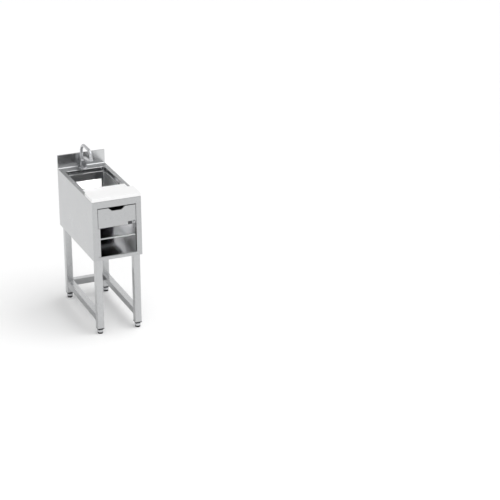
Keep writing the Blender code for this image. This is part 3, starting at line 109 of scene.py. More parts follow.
# A place, a radius with a height, and a pair of X and Y or of width and height.
Point = tuple[float, float, float]
Ring = tuple[float, float]
Pair = tuple[float, float]


class Grain(Enum):
    """Which way a sheet was rolled or brushed, as the stretch of its pattern along X, Y and Z."""

    ALONG_X = (0.03, 1.0, 1.0)
    ALONG_Y = (1.0, 0.03, 1.0)
    ALONG_Z = (1.0, 1.0, 0.03)


class Selecting(Enum):
    """What is selected in edit mode, as Blender's switches for corners, edges and faces."""

    EDGES = (False, True, False)
    FACES = (False, False, True)


class Operation(Enum):
    """What a second piece does to a first one."""

    CUTS = "DIFFERENCE"
    JOINS = "UNION"


def linear(hex_colour: str) -> tuple[float, float, float, float]:
    """Turns an sRGB hex colour to linear red, green, blue and alpha.

    Args:
        hex_colour: six hex digits, without a leading sign.

    Returns:
        The linear colour, with an alpha of 1.
    """
    values = []
    # The sRGB curve: straight up to a first bit of grey, then a power.
    for start in (0, 2, 4):
        value = int(hex_colour[start : start + 2], 16) / 255
        values.append(value / 12.92 if value <= 0.04045 else ((value + 0.055) / 1.055) ** 2.4)
    return (values[0], values[1], values[2], 1.0)


def add_node(
    tree: bpy.types.NodeTree,
    kind: str,
    settings: dict[str, object] | None = None,
    inputs: dict[str | int, object] | None = None,
) -> bpy.types.Node:
    """Adds a node, sets its properties, and sets or links its inputs.

    Args:
        tree: the material's node tree.
        kind: the node's type name, without the leading ShaderNode.
        settings: property names and values.
        inputs: input names or numbers, each with a value or with the socket to link from.

    Returns:
        The new node.
    """
    node = tree.nodes.new("ShaderNode" + kind)
    for name, value in (settings or {}).items():
        setattr(node, name, value)
    for name, value in (inputs or {}).items():
        if isinstance(value, bpy.types.NodeSocket):
            tree.links.new(value, node.inputs[name])
        else:
            node.inputs[name].default_value = value
    return node


@dataclass(frozen=True)
class Finish:
    """A surface: what it is made of, how it was made, and what that gives the eye.

    The grain and the cloud are two sizes of variation, in millimetres. The first is what brushing,
    rolling or moulding leaves, and the second is handling, water and uneven polish.
    """

    name: str
    slot: str
    colour: str
    shade: str
    metallic: float
    roughness: float
    spread: float
    grain_mm: float
    cloud_mm: float
    bump: float
    grain: Grain | None = None
    ior: float = 1.5

    def material(self) -> bpy.types.Material:
        """Builds the material, or returns it if it was built before.

        Returns:
            The finished material.
        """
        found = bpy.data.materials.get(self.name)
        if found:
            return found
        made = bpy.data.materials.new(self.name)
        made.use_nodes = True
        tree = made.node_tree
        shader = tree.nodes["Principled BSDF"]
        shader.inputs["Metallic"].default_value = self.metallic
        if not self.metallic:
            shader.inputs["IOR"].default_value = self.ior
        place = add_node(tree, "TexCoord").outputs["Object"]
        stretch = self.grain.value if self.grain else (1.0, 1.0, 1.0)
        mapped = add_node(tree, "Mapping", inputs={"Vector": place, "Scale": stretch})
        fine = add_node(
            tree,
            "TexNoise",
            inputs={
                "Vector": mapped.outputs[0],
                "Scale": MM_IN_METRE / self.grain_mm,
                "Detail": FINE_DETAIL,
            },
        )
        cloud = add_node(
            tree,
            "TexNoise",
            inputs={"Vector": place, "Scale": MM_IN_METRE / self.cloud_mm, "Detail": CLOUD_DETAIL},
        )
        # A mix node has its number inputs at 2 and 3 and its colour inputs at 6 and 7.
        both = add_node(
            tree,
            "Mix",
            {"data_type": "FLOAT"},
            {"Factor": 0.5, 2: fine.outputs["Fac"], 3: cloud.outputs["Fac"]},
        )
        rough = add_node(
            tree,
            "MapRange",
            inputs={
                "Value": both.outputs[0],
                "From Min": NOISE_LOW,
                "From Max": NOISE_HIGH,
                "To Min": max(self.roughness - self.spread, LEAST_ROUGHNESS),
                "To Max": self.roughness + self.spread,
            },
        )
        tint = add_node(
            tree,
            "Mix",
            {"data_type": "RGBA"},
            {"Factor": cloud.outputs["Fac"], 6: linear(self.colour), 7: linear(self.shade)},
        )
        relief = add_node(
            tree,
            "Bump",
            inputs={"Strength": self.bump, "Distance": RELIEF_DEPTH, "Height": fine.outputs["Fac"]},
        )
        tree.links.new(tint.outputs[2], shader.inputs["Base Color"])
        tree.links.new(rough.outputs[0], shader.inputs["Roughness"])
        tree.links.new(relief.outputs[0], shader.inputs["Normal"])
        return made


# Stainless sheet, belt-ground from side to side: soft, even reflections with a faint level grain.
SATIN_X = Finish(
    "satin_steel_x", "satin_steel", "B9BABB", "B4B5B6", 1.0, 0.27, 0.03, 0.9, 120, 0.02, Grain.ALONG_X
)
# The same sheet ground from front to rear, for the side panels: its reflections spread a little wider.
SATIN_Y = Finish(
    "satin_steel_y", "satin_steel", "C0C1C2", "BCBDBE", 1.0, 0.29, 0.03, 0.9, 120, 0.02, Grain.ALONG_Y
)
# Square tube ground along its length, for the legs: a faint upright grain.
SATIN_Z = Finish(
    "satin_steel_z", "satin_steel", "BFC0C1", "BABBBC", 1.0, 0.27, 0.03, 0.9, 120, 0.02, Grain.ALONG_Z
)
# Bright rolled sheet of the drawer's box: clear but slightly wavy reflections.
BRIGHT = Finish("bright_steel", "polished_steel", "CACBCC", "C2C3C5", 1.0, 0.12, 0.03, 2.0, 60, 0.02)
# Splashback sheet, finer ground than the front: it mirrors the deck's light rim over its lower edge.
ROLLED_X = Finish(
    "rolled_steel", "satin_steel", "CECFD0", "C9CACB", 1.0, 0.21, 0.03, 0.9, 120, 0.02, Grain.ALONG_X
)
# Stretcher tube on its sides: painted shade, a matt grey darker than the legs.
TUBE_SIDE_PAINTED_SHADE = Finish(
    "tube_side_painted_shade", "satin_steel", "A9AAAB", "A3A4A5", 1.0, 0.31, 0.03, 0.9, 120, 0.03, Grain.ALONG_Y
)
# The stretchers' top faces: painted light, a paler copy of the same tube steel that stands for the key
# light's pale band.
TUBE_TOP_PAINTED_LIGHT = Finish(
    "tube_top_painted_light", "satin_steel", "E4E5E6", "DFE0E1", 1.0, 0.27, 0.03, 0.9, 120, 0.02, Grain.ALONG_Y
)
# Matt rolled sheet of the bowl and the lip over it: darker than the ground faces, blurred mirror.
DULL = Finish("dull_steel", "polished_steel", "A6A7A8", "9E9FA0", 1.0, 0.16, 0.03, 2.0, 60, 0.02)
# The bowl's long sides: painted light, a paler and half-diffuse copy of the bowl's steel, so they scatter a
# little more light than the ends.
BOWL_SIDE_PAINTED_LIGHT = Finish("bowl_side_painted_light", "polished_steel", "B0B1B2", "A8A9AA", 0.5, 0.3, 0.03, 1.5, 60, 0.02)
# Painted highlight: a pale copy of the steel on the rounding of the mouth and the ledge where it looks to
# the front, a thin bright line.
EDGE_PAINTED_HIGHLIGHT = Finish("edge_painted_highlight", "polished_steel", "DADADB", "D2D2D3", 1.0, 0.2, 0.03, 2.0, 60, 0.02)
# Mirror-rolled sheet of the niche's floor and shelf: it doubles the walls, a little blurred.
MIRROR = Finish("mirror_steel", "polished_steel", "F4F4F5", "EEEEEF", 1.0, 0.14, 0.02, 2.0, 60, 0.02)
# Painted shade: matt black on the niche's rear and under its shelf, where there is only shade.
NICHE_PAINTED_SHADE = Finish(
    "niche_painted_shade", "black_plastic", "080809", "0C0C0D", 0.0, 0.75, 0.08, 1.5, 20, 0.3, ior=1.2
)
# Blasted sheet of the niche's sides: it scatters light like frosted glass and mirrors nothing.
HAZY = Finish("hazy_steel", "polished_steel", "D9DADB", "D3D4D6", 0.35, 0.45, 0.04, 0.8, 80, 0.03)
# Polished chrome plate on the tap and the small fittings: near mirror, with faint water haze.
CHROME = Finish("chrome_plate", "chrome", "C6C7C9", "BCBDC0", 0.8, 0.13, 0.02, 0.8, 30, 0.01)
# Drawn wire of the bail: plain steel, greyer than chrome, with a soft streak of light.
WIRE = Finish("drawn_wire", "satin_steel", "7E7F81", "747577", 1.0, 0.28, 0.04, 0.8, 30, 0.03)
# Zinc-plated steel of the screws and nuts: bluish grey, half bright.
ZINC = Finish("zinc_plate", "satin_steel", "B4B8BC", "A8ACB0", 1.0, 0.3, 0.06, 0.6, 15, 0.1)
# Ground weld bead: the same steel as the tube, dulled and crossed by fine grinding marks.
WELD_BEAD = Finish("ground_weld", "satin_steel", "B0B1B2", "A2A3A5", 1.0, 0.4, 0.08, 1.2, 8, 0.25)
# Moulded polyethylene board: matt, faintly pebbled, never quite pure white. Its white also paints the
# reflection of light on the deck behind the board.
BOARD_WHITE_AND_PAINTED_REFLECTION = Finish("polyethylene", "white_board", "F0F0F0", "ECECEC", 0.0, 0.42, 0.06, 0.9, 45, 0.25)
# Smooth white card: even and a little glossy.
CARD_WHITE = Finish("laminated_card", "white_card", "FBFBFB", "F8F8F8", 0.0, 0.35, 0.04, 0.6, 60, 0.05)
# Moulded black polyamide caps: matt, with a fine spark-eroded texture.
BLACK_PLASTIC = Finish(
    "black_polyamide", "black_plastic", "1B1B1C", "232324", 0.0, 0.5, 0.08, 0.7, 25, 0.3
)
# Grey polypropylene of the waste fittings: soft sheen.
GREY_PLASTIC = Finish(
    "grey_polypropylene", "grey_plastic", "BFC1C2", "B4B6B8", 0.0, 0.4, 0.06, 0.8, 30, 0.15
)
# Black rubber of the gasket, the washer and the soles: dull, with hardly a highlight. The same black paints
# the shade of the drawer's gap and of the niche's right corner.
RUBBER_AND_PAINTED_SHADE = Finish("black_rubber_and_painted_shade", "rubber", "1B1B1B", "242424", 0.0, 0.8, 0.05, 0.6, 20, 0.3)
# Small bare plate on the drawer: satin dark lacquer on metal, with a faint grain under it.
DARK_PLATE = Finish(
    "lacquered_plate", "dark_plate", "3A3A3C", "323234", 0.0, 0.5, 0.05, 0.8, 20, 0.1, Grain.ALONG_X
)


def deselect() -> None:
    """Deselects every object."""
    for obj in bpy.context.view_layer.objects:
        obj.select_set(False)


def pick(obj: bpy.types.Object) -> None:
    """Makes an object the only one selected and the active one.

    Args:
        obj: the object.
    """
    deselect()
    obj.select_set(True)
    bpy.context.view_layer.objects.active = obj


def choose(obj: bpy.types.Object, test: Callable[[Vector, Vector], bool]) -> None:
    """Selects the faces of an object whose centre and normal pass a test.

    Args:
        obj: the object, in object mode.
        test: takes a face's centre and normal.
    """
    for item in (*obj.data.vertices, *obj.data.edges):
        item.select = False
    for face in obj.data.polygons:
        face.select = test(face.center, face.normal)


def choose_edges(obj: bpy.types.Object, test: Callable[[Vector, Vector], bool]) -> int:
    """Selects the edges of an object whose two ends pass a test.

    Args:
        obj: the object, in object mode.
        test: takes the places of an edge's two ends.

    Returns:
        How many edges were selected.
    """
    points = obj.data.vertices
    for item in (*points, *obj.data.polygons):
        item.select = False
    count = 0
    for edge in obj.data.edges:
        first, second = (points[i] for i in edge.vertices)
        edge.select = test(first.co, second.co)
        if edge.select:
            first.select = second.select = True
        count += edge.select
    return count


def edit(obj: bpy.types.Object, selecting: Selecting) -> None:
    """Enters edit mode on an object.

    Args:
        obj: the object.
        selecting: what is selected there.
    """
    pick(obj)
    bpy.ops.object.mode_set(mode="EDIT")
    bpy.context.tool_settings.mesh_select_mode = selecting.value


def done() -> None:
    """Leaves edit mode."""
    bpy.ops.object.mode_set(mode="OBJECT")


def bevel_chosen(obj: bpy.types.Object, width: float, segments: int) -> None:
    """Rounds the selected edges of a piece.

    Args:
        obj: the piece, in object mode.
        width: the width of the rounding.
        segments: how many faces go round an edge.
    """
    edit(obj, Selecting.EDGES)
    bpy.ops.mesh.bevel(offset=width, segments=segments)
    done()


def settle(obj: bpy.types.Object) -> None:
    """Applies an object's place, turn and scale to its mesh."""
    pick(obj)
    bpy.ops.object.transform_apply(location=True, rotation=True, scale=True)


def modify(obj: bpy.types.Object, kind: str, **settings: object) -> None:
    """Adds a modifier with its settings and applies it.

    Args:
        obj: the piece.
        kind: the modifier's type.
        settings: its properties.
    """
    pick(obj)
    modifier = obj.modifiers.new(kind.lower(), kind)
    for name, value in settings.items():
        setattr(modifier, name, value)
    bpy.ops.object.modifier_apply(modifier=modifier.name)


def soften(obj: bpy.types.Object, width: float, segments: int = ROUND_STEPS) -> None:
    """Rounds the sharp edges of a piece and smooths its shading.

    Args:
        obj: the piece.
        width: the width of the rounding.
        segments: how many faces go round an edge.
    """
    modify(
        obj,
        "BEVEL",
        width=width,
        segments=segments,
        limit_method="ANGLE",
        angle_limit=EDGE_ANGLE,
        miter_outer="MITER_ARC",
        use_clamp_overlap=True,
    )
    smooth(obj)


def smooth(obj: bpy.types.Object, angle: float = SMOOTH_ANGLE) -> None:
    """Shades a piece smooth and keeps its flat faces flat.

    Args:
        obj: the piece.
        angle: the greatest angle between two faces that are shaded as one.
    """
    pick(obj)
    bpy.ops.object.shade_smooth_by_angle(angle=angle)
    modify(obj, "WEIGHTED_NORMAL", keep_sharp=True, weight=FLAT_WEIGHT)


def combine(obj: bpy.types.Object, other: bpy.types.Object, operation: Operation) -> None:
    """Cuts a piece with another one or joins the two, and removes the other one."""
    modify(obj, "BOOLEAN", object=other, operation=operation.value, solver="EXACT")
    bpy.data.objects.remove(other, do_unlink=True)


def block(name: str, low: Sequence[float], high: Sequence[float]) -> bpy.types.Object:
    """Adds a cube stretched between two corners.

    Args:
        name: the piece's name.
        low: its lowest corner.
        high: its highest corner.

    Returns:
        The block, with its place in its mesh.
    """
    deselect()
    low_corner, high_corner = Vector(low), Vector(high)
    bpy.ops.mesh.primitive_cube_add(size=1, location=(low_corner + high_corner) / 2)
    obj = bpy.context.active_object
    obj.name = name
    obj.scale = high_corner - low_corner
    settle(obj)
    return obj


def turned(
    name: str, rings: Sequence[Ring], centre: Point, steps: int = TURN_STEPS
) -> bpy.types.Object:
    """Makes a turned piece by extruding a circle from ring to ring.

    Args:
        name: the piece's name.
        rings: radius and height of each ring over the centre, from the bottom up its outer side.
        centre: where its axis and its zero height are.
        steps: how many faces go round.

    Returns:
        The closed, smooth piece, with its place in its mesh.
    """
    deselect()
    radius, height = rings[0]
    x, y, z = centre
    bpy.ops.mesh.primitive_circle_add(
        vertices=steps, radius=radius, fill_type="NOTHING", location=(x, y, z + height)
    )
    obj = bpy.context.active_object
    obj.name = name
    settle(obj)
    edit(obj, Selecting.EDGES)
    bpy.ops.mesh.select_all(action="SELECT")
    closed = rings[0] == rings[-1]
    for next_radius, next_height in rings[1:]:
        bpy.ops.mesh.extrude_region_move(
            TRANSFORM_OT_translate={"value": (0, 0, next_height - height)}
        )
        share = next_radius / radius
        middle = (x, y, z + next_height)
        bpy.ops.transform.resize(value=(share, share, 1), center_override=middle)
        radius, height = next_radius, next_height
    bpy.ops.mesh.select_all(action="SELECT")
    bpy.ops.mesh.remove_doubles(threshold=WELD)
    if not closed:
        bpy.ops.mesh.fill_holes(sides=0)
    bpy.ops.mesh.normals_make_consistent(inside=False)
    done()
    return obj


@dataclass(frozen=True)
class Straight:
    """A straight run of a tube."""

    run: Point


@dataclass(frozen=True)
class Bend:
    """A quarter bend of a tube about a line along X through a centre."""

    centre: Point
    steps: int


def piped(
    name: str, radius: float, start: Point, moves: Sequence[Straight | Bend], steps: int = TUBE_STEPS
) -> bpy.types.Object:
    """Makes a tube that starts facing +Y by drawing a circle along runs and quarter bends.

    Args:
        name: the piece's name.
        radius: the tube's radius.
        start: the middle of its first end.
        moves: the runs and bends, in order.
        steps: how many faces go round.

    Returns:
        The closed tube, with its place in its mesh.
    """
    deselect()
    bpy.ops.mesh.primitive_circle_add(
        vertices=steps, radius=radius, fill_type="NOTHING", location=start, rotation=(QUARTER, 0, 0)
    )
    obj = bpy.context.active_object
    obj.name = name
    settle(obj)
    edit(obj, Selecting.EDGES)
    bpy.ops.mesh.select_all(action="SELECT")
    for move in moves:
        if isinstance(move, Straight):
            bpy.ops.mesh.extrude_region_move(TRANSFORM_OT_translate={"value": move.run})
        else:
            bpy.ops.mesh.spin(
                steps=move.steps, angle=QUARTER, center=move.centre, axis=(-1, 0, 0)
            )
    bpy.ops.mesh.select_all(action="SELECT")
    bpy.ops.mesh.remove_doubles(threshold=WELD)
    bpy.ops.mesh.fill_holes(sides=0)
    bpy.ops.mesh.normals_make_consistent(inside=False)
    done()
    return obj


def ball(name: str, radius: float, centre: Point) -> bpy.types.Object:
    """Adds a fine ball, as a start for a dome or as a cutter.

    Args:
        name: the piece's name.
        radius: its radius.
        centre: its middle.

    Returns:
        The ball, with its place in its mesh.
    """
    deselect()
    around, up = BALL_STEPS
    bpy.ops.mesh.primitive_uv_sphere_add(
        segments=around, ring_count=up, radius=radius, location=centre
    )
    obj = bpy.context.active_object
    obj.name = name
    settle(obj)
    return obj


def copied(obj: bpy.types.Object, name: str, shift: Sequence[float]) -> bpy.types.Object:
    """Copies a piece, with its own mesh, to another place.

    Args:
        obj: the piece.
        name: the copy's name.
        shift: how far the copy stands from the piece.

    Returns:
        The copy, with its place in its mesh.
    """
    pick(obj)
    bpy.ops.object.duplicate()
    twin = bpy.context.active_object
    twin.name = name
    twin.location = shift
    settle(twin)
    return twin


def inside(point: Vector, low: Pair, high: Pair, margin: float = 0.0) -> bool:
    """Tells whether a point is in a rectangle, seen from above.

    Args:
        point: the point.
        low: the rectangle's lowest X and Y.
        high: its highest X and Y.
        margin: how far outside it the point may be.

    Returns:
        Whether it is.
    """
    return all(
        least - margin < value < most + margin for least, value, most in zip(low, point, high)
    )


def coat(obj: bpy.types.Object, *finishes: Finish) -> None:
    """Adds finishes to a piece, each as its next material."""
    for finish in finishes:
        obj.data.materials.append(finish.material())


def refined(node: str, nodes: dict[str, bpy.types.Object]) -> bpy.types.Object:
    """Copies a frame node, merges its loose triangles and clears its flat faces of inner edges.

    Args:
        node: the frame node's name.
        nodes: the frame's nodes.

    Returns:
        The copy, which doesn't ride on anything yet.
    """
    pick(nodes[node])
    bpy.ops.object.duplicate()
    obj = bpy.context.active_object
    obj.name = node + "_fine"
    obj.parent = None
    for key in list(obj.keys()):
        del obj[key]
    obj.data.materials.clear()
    edit(obj, Selecting.EDGES)
    bpy.ops.mesh.select_all(action="SELECT")
    bpy.ops.mesh.remove_doubles(threshold=WELD)
    bpy.ops.mesh.dissolve_limited(angle_limit=FLAT_ANGLE)
    done()
    return obj


@dataclass
class Workshop:
    """What every sub-assembly needs: the frame's nodes, their bodies, and how a piece is handed in."""

    nodes: dict[str, bpy.types.Object]
    body_of: dict[str, str]

    def dress(self, obj: bpy.types.Object, finish: Finish, *replaced: str) -> bpy.types.Object:
        """Gives a piece its finish and puts it in place of frame nodes.

        Args:
            obj: the piece.
            finish: its finish.
            replaced: the frame nodes that it stands for. It rides on the first one's body.

        Returns:
            The piece.
        """
        obj.data.materials.clear()
        coat(obj, finish)
        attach(obj, self.body_of[replaced[0]])
        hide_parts(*replaced)
        LOG.info("%s stands for %s", obj.name, ", ".join(replaced))
        return obj

    def add(self, obj: bpy.types.Object, finish: Finish, body: str) -> bpy.types.Object:
        """Gives a new piece its finish and makes it ride on a body.

        Args:
            obj: the piece.
            finish: its finish.
            body: the body's name.

        Returns:
            The piece.
        """
        obj.data.materials.clear()
        coat(obj, finish)
        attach(obj, body)
        LOG.info("%s is added to %s", obj.name, body)
        return obj

    def paint(self, finish: Finish, names: Iterable[str]) -> None:
        """Gives frame nodes that stay in view their finish.

        Args:
            finish: the finish.
            names: the frame nodes.
        """
        for name in names:
            node = self.nodes[name]
            node.data.materials.clear()
            coat(node, finish)
            LOG.info("%s is painted with %s", name, finish.name)

    def rework(
        self, names: Iterable[str], finish: Finish, width: float, segments: int = ROUND_STEPS
    ) -> list[bpy.types.Object]:
        """Puts copies with rounded edges in place of frame nodes.

        Args:
            names: the frame nodes.
            finish: their finish.
            width: the width of the rounding.
            segments: how many faces go round an edge.

        Returns:
            The copies.
        """
        made = []
        for name in names:
            obj = refined(name, self.nodes)
            soften(obj, width, segments)
            made.append(self.dress(obj, finish, name))
        return made


@dataclass
class SheetBody:
    """The folded sheets of the body: panels, frame, bottom and splashback."""

    shop: Workshop
    fold: float = 0.0004

    def build(self) -> None:
        """Dresses each sheet with its grain along its longer side."""
        self.shop.rework(("side_panel_left", "side_panel_right"), SATIN_Y, self.fold)
        self.shop.rework(("front_frame", "rear_panel"), SATIN_X, self.fold)
        self.shop.rework(("splashback",), ROLLED_X, self.fold)
        self.shop.paint(SATIN_Y, ("bottom_panel", "drawer_housing"))
        self.shop.paint(SATIN_Z, [n for n in self.shop.nodes if n.startswith("leg_bolt")])


@dataclass
class Worktop:
    """The deck with its turned-down mouth."""

    shop: Workshop
    fold: float = 0.0005
    top: float = 0.840
    mouth_low: Pair = (-0.123, -0.0926)
    mouth_high: Pair = (0.123, 0.2504)
    mouth_edge: float = 0.0022
    mouth_steps: int = 5

    def in_mouth(self, point: Vector, margin: float = WELD) -> bool:
        """Tells whether a point is in the mouth or at most a margin outside it."""
        return inside(point, self.mouth_low, self.mouth_high, margin)

    def on_mouth(self, one: Vector, two: Vector) -> bool:
        """Tells whether an edge is the mouth's upper edge."""
        return all(abs(end.z - self.top) < WELD and self.in_mouth(end) for end in (one, two))

    def build(self) -> None:
        """Rounds the mouth's edge over its turned-down lip and dresses the deck."""
        deck = refined("worktop", self.shop.nodes)
        LOG.info("%d edges of the mouth are rounded", choose_edges(deck, self.on_mouth))
        bevel_chosen(deck, self.mouth_edge, self.mouth_steps)
        soften(deck, self.fold)
        self.shop.dress(deck, SATIN_X, "worktop")
        coat(deck, DULL, EDGE_PAINTED_HIGHLIGHT)
        margin = self.mouth_edge + WELD
        for face in deck.data.polygons:
            corners = [deck.data.vertices[i].co for i in face.vertices]
            if all(self.in_mouth(corner, margin) for corner in corners):
                # Painted highlight on the rounding's faces that look to the front; the rest of the mouth
                # gets the bowl's steel.
                rounded = face.center.z > self.top - self.mouth_edge
                face.material_index = 2 if rounded and face.normal.y < -SLIGHTLY else 1


@dataclass
class Basin:
    """The bowl, its waste and trap, and the card that stands in it."""

    shop: Workshop
    fold: float = 0.0003
    ledge: float = 0.8147
    ledge_low: Pair = (-0.1185, -0.0881)
    ledge_high: Pair = (0.1185, 0.2459)
    ledge_edge: float = 0.0018
    ledge_steps: int = 4
    ledge_slack: float = 4 * WELD
    # How much of a normal points left or right on the bowl's long sides.
    sideways: float = 0.7

    def on_ledge(self, one: Vector, two: Vector) -> bool:
        """Tells whether an edge is the ledge's inner edge.

        Args:
            one: the place of its first end.
            two: the place of its second end.

        Returns:
            Whether both ends are at the ledge's height and inside its outline.
        """
        return all(
            abs(end.z - self.ledge) < self.ledge_slack
            and inside(end, self.ledge_low, self.ledge_high)
            for end in (one, two)
        )

    def build(self) -> None:
        """Rounds the ledge's edge and dresses the bowl, the waste and the card."""
        bowl = refined("basin_bowl", self.shop.nodes)
        LOG.info("%d edges of the ledge are rounded", choose_edges(bowl, self.on_ledge))
        bevel_chosen(bowl, self.ledge_edge, self.ledge_steps)
        smooth(bowl)
        self.shop.dress(bowl, DULL, "basin_bowl")
        coat(bowl, EDGE_PAINTED_HIGHLIGHT, BOWL_SIDE_PAINTED_LIGHT)
        for face in bowl.data.polygons:
            # Painted highlight on the ledge's rounding where it looks to the front.
            if self.ledge - self.ledge_edge < face.center.z < self.ledge - WELD / 2:
                face.material_index = int(face.normal.y < -SLIGHTLY)
            # Painted light on the bowl's long sides.
            elif abs(face.normal.x) > self.sideways:
                face.material_index = 2
        self.shop.rework(("waste_flange",), CHROME, self.fold, SMALL_STEPS)
        self.shop.rework(("basin_card",), CARD_WHITE, self.fold, SMALL_STEPS)
        self.shop.paint(RUBBER_AND_PAINTED_SHADE, ("waste_gasket", "tap_washer"))
        self.shop.paint(GREY_PLASTIC, ("waste_nut", "trap_body", "trap_cup", "trap_outlet"))


@dataclass
class Niche:
    """The open niche with its shelf."""

    shop: Workshop
    fold: float = 0.0003
    sheet: float = 0.0012
    corner_shade_low: Point = (0.1128, -0.3221, 0.4995)
    corner_shade_high: Point = (0.1168, -0.3180, 0.6720)

    def build(self) -> None:
        """Dresses the liner, the shelf and the angle under it, and lays a black strip of painted shade in
        the niche's right corner.
        """
        # Painted shade: a black strip along the right edge of the opening, where a dark line of shade lies.
        corner_shade = block("niche_corner_shade", self.corner_shade_low, self.corner_shade_high)
        soften(corner_shade, self.fold, SMALL_STEPS)
        self.shop.add(corner_shade, RUBBER_AND_PAINTED_SHADE, "station")
        liner = self.shop.rework(("niche_liner",), MIRROR, self.fold, SMALL_STEPS)[0]
        coat(liner, SATIN_X, HAZY, NICHE_PAINTED_SHADE)
        low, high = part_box("niche_liner")
        for face in liner.data.polygons:
            if face.center.y < low[1] + self.sheet:
                face.material_index = 1
            elif abs(face.normal.x) > SQUARELY:
                face.material_index = 2
            # Painted shade on the rear.
            elif face.center.y > high[1] - self.sheet:
                face.material_index = 3
        shelf = self.shop.rework(("niche_shelf",), MIRROR, self.fold, SMALL_STEPS)[0]
        coat(shelf, SATIN_X, NICHE_PAINTED_SHADE)
        low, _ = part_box("niche_shelf")
        for face in shelf.data.polygons:
            if face.center.y < low[1] + self.sheet:
                face.material_index = 1
            # Painted shade under the shelf.
            elif face.normal.z < -SQUARELY:
                face.material_index = 2
        self.shop.rework(("shelf_ledge",), SATIN_Y, self.fold, SMALL_STEPS)


@dataclass
class Drawer:
    """The drawer with its front, its box, its slides, the bare plate and the wire bail."""

    shop: Workshop
    fold: float = 0.0005
    notch_half: float = 0.0535
    shade_strip_height: float = 0.0014
    shade_strip_face: float = 0.0003
    shade_strip_depth: float = 0.004
    # The rounding of a shade strip, as a share of how far it stands out.
    shade_strip_round: float = 0.8

    def lay_shade_strips(self) -> None:
        """Lays a black strip of painted shade over the top edge on each side of the notch, where the gap
        above the front lies in shade.
        """
        low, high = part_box("drawer_front")
        face, back = low[1] - self.shade_strip_face, low[1] + self.shade_strip_depth
        bottom, top = high[2] - self.shade_strip_height, high[2] + self.shade_strip_face
        for name, left, right in (
            ("drawer_painted_shade_left", low[0] + self.fold, -self.notch_half),
            ("drawer_painted_shade_right", self.notch_half, high[0] - self.fold),
        ):
            strip = block(name, (left, face, bottom), (right, back, top))
            soften(strip, self.shade_strip_face * self.shade_strip_round, SMALL_STEPS)
            self.shop.add(strip, RUBBER_AND_PAINTED_SHADE, "drawer")

    def build(self) -> None:
        """Dresses the drawer, with painted shade: black on the edge faces of its front, in the gap round
        it.
        """
        self.lay_shade_strips()
        front = self.shop.rework(("drawer_front",), SATIN_X, self.fold)[0]
        coat(front, RUBBER_AND_PAINTED_SHADE)
        low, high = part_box("drawer_front")
        for face in front.data.polygons:
            x, y, z = face.center
            # Painted shade of the gap: the front's edge faces behind its face get the black.
            rim = min(x - low[0], high[0] - x, z - low[2], high[2] - z) < self.fold / 2
            face.material_index = int(rim and y > low[1] + self.fold)
        self.shop.rework(("drawer_box",), BRIGHT, self.fold, SMALL_STEPS)
        self.shop.paint(
            SATIN_Y,
            ("drawer_runner_left", "drawer_runner_right", "drawer_slide_left", "drawer_slide_right"),
        )
        self.shop.rework(("front_plate",), DARK_PLATE, self.fold / 2, SMALL_STEPS)
        self.shop.rework(("bail_bracket",), CHROME, self.fold / 4, SMALL_STEPS)
        self.shop.rework(("wire_bail",), WIRE, self.fold / 4, SMALL_STEPS)


@dataclass
class Board:
    """The white board over the front of the deck, and a thin white strip from it to the mouth: painted
    reflection of light on the deck.
    """

    shop: Workshop
    reflection_side: float = 0.130
    reflection_low: float = 0.8406
    reflection_top: float = 0.8440
    reflection_back: float = -0.0960
    edge: float = 0.0008

    def build(self) -> None:
        """Dresses the board and lays the strip of painted reflection behind it."""
        board = refined("cutting_board", self.shop.nodes)
        smooth(board)
        self.shop.dress(board, BOARD_WHITE_AND_PAINTED_REFLECTION, "cutting_board")
        _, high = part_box("cutting_board")
        # Painted reflection: a white strip over the deck between the board and the mouth.
        reflection_strip = block(
            "deck_painted_reflection",
            (-self.reflection_side, high[1] - self.edge, self.reflection_low),
            (self.reflection_side, self.reflection_back, self.reflection_top),
        )
        soften(reflection_strip, self.edge)
        self.shop.add(reflection_strip, BOARD_WHITE_AND_PAINTED_REFLECTION, "board")


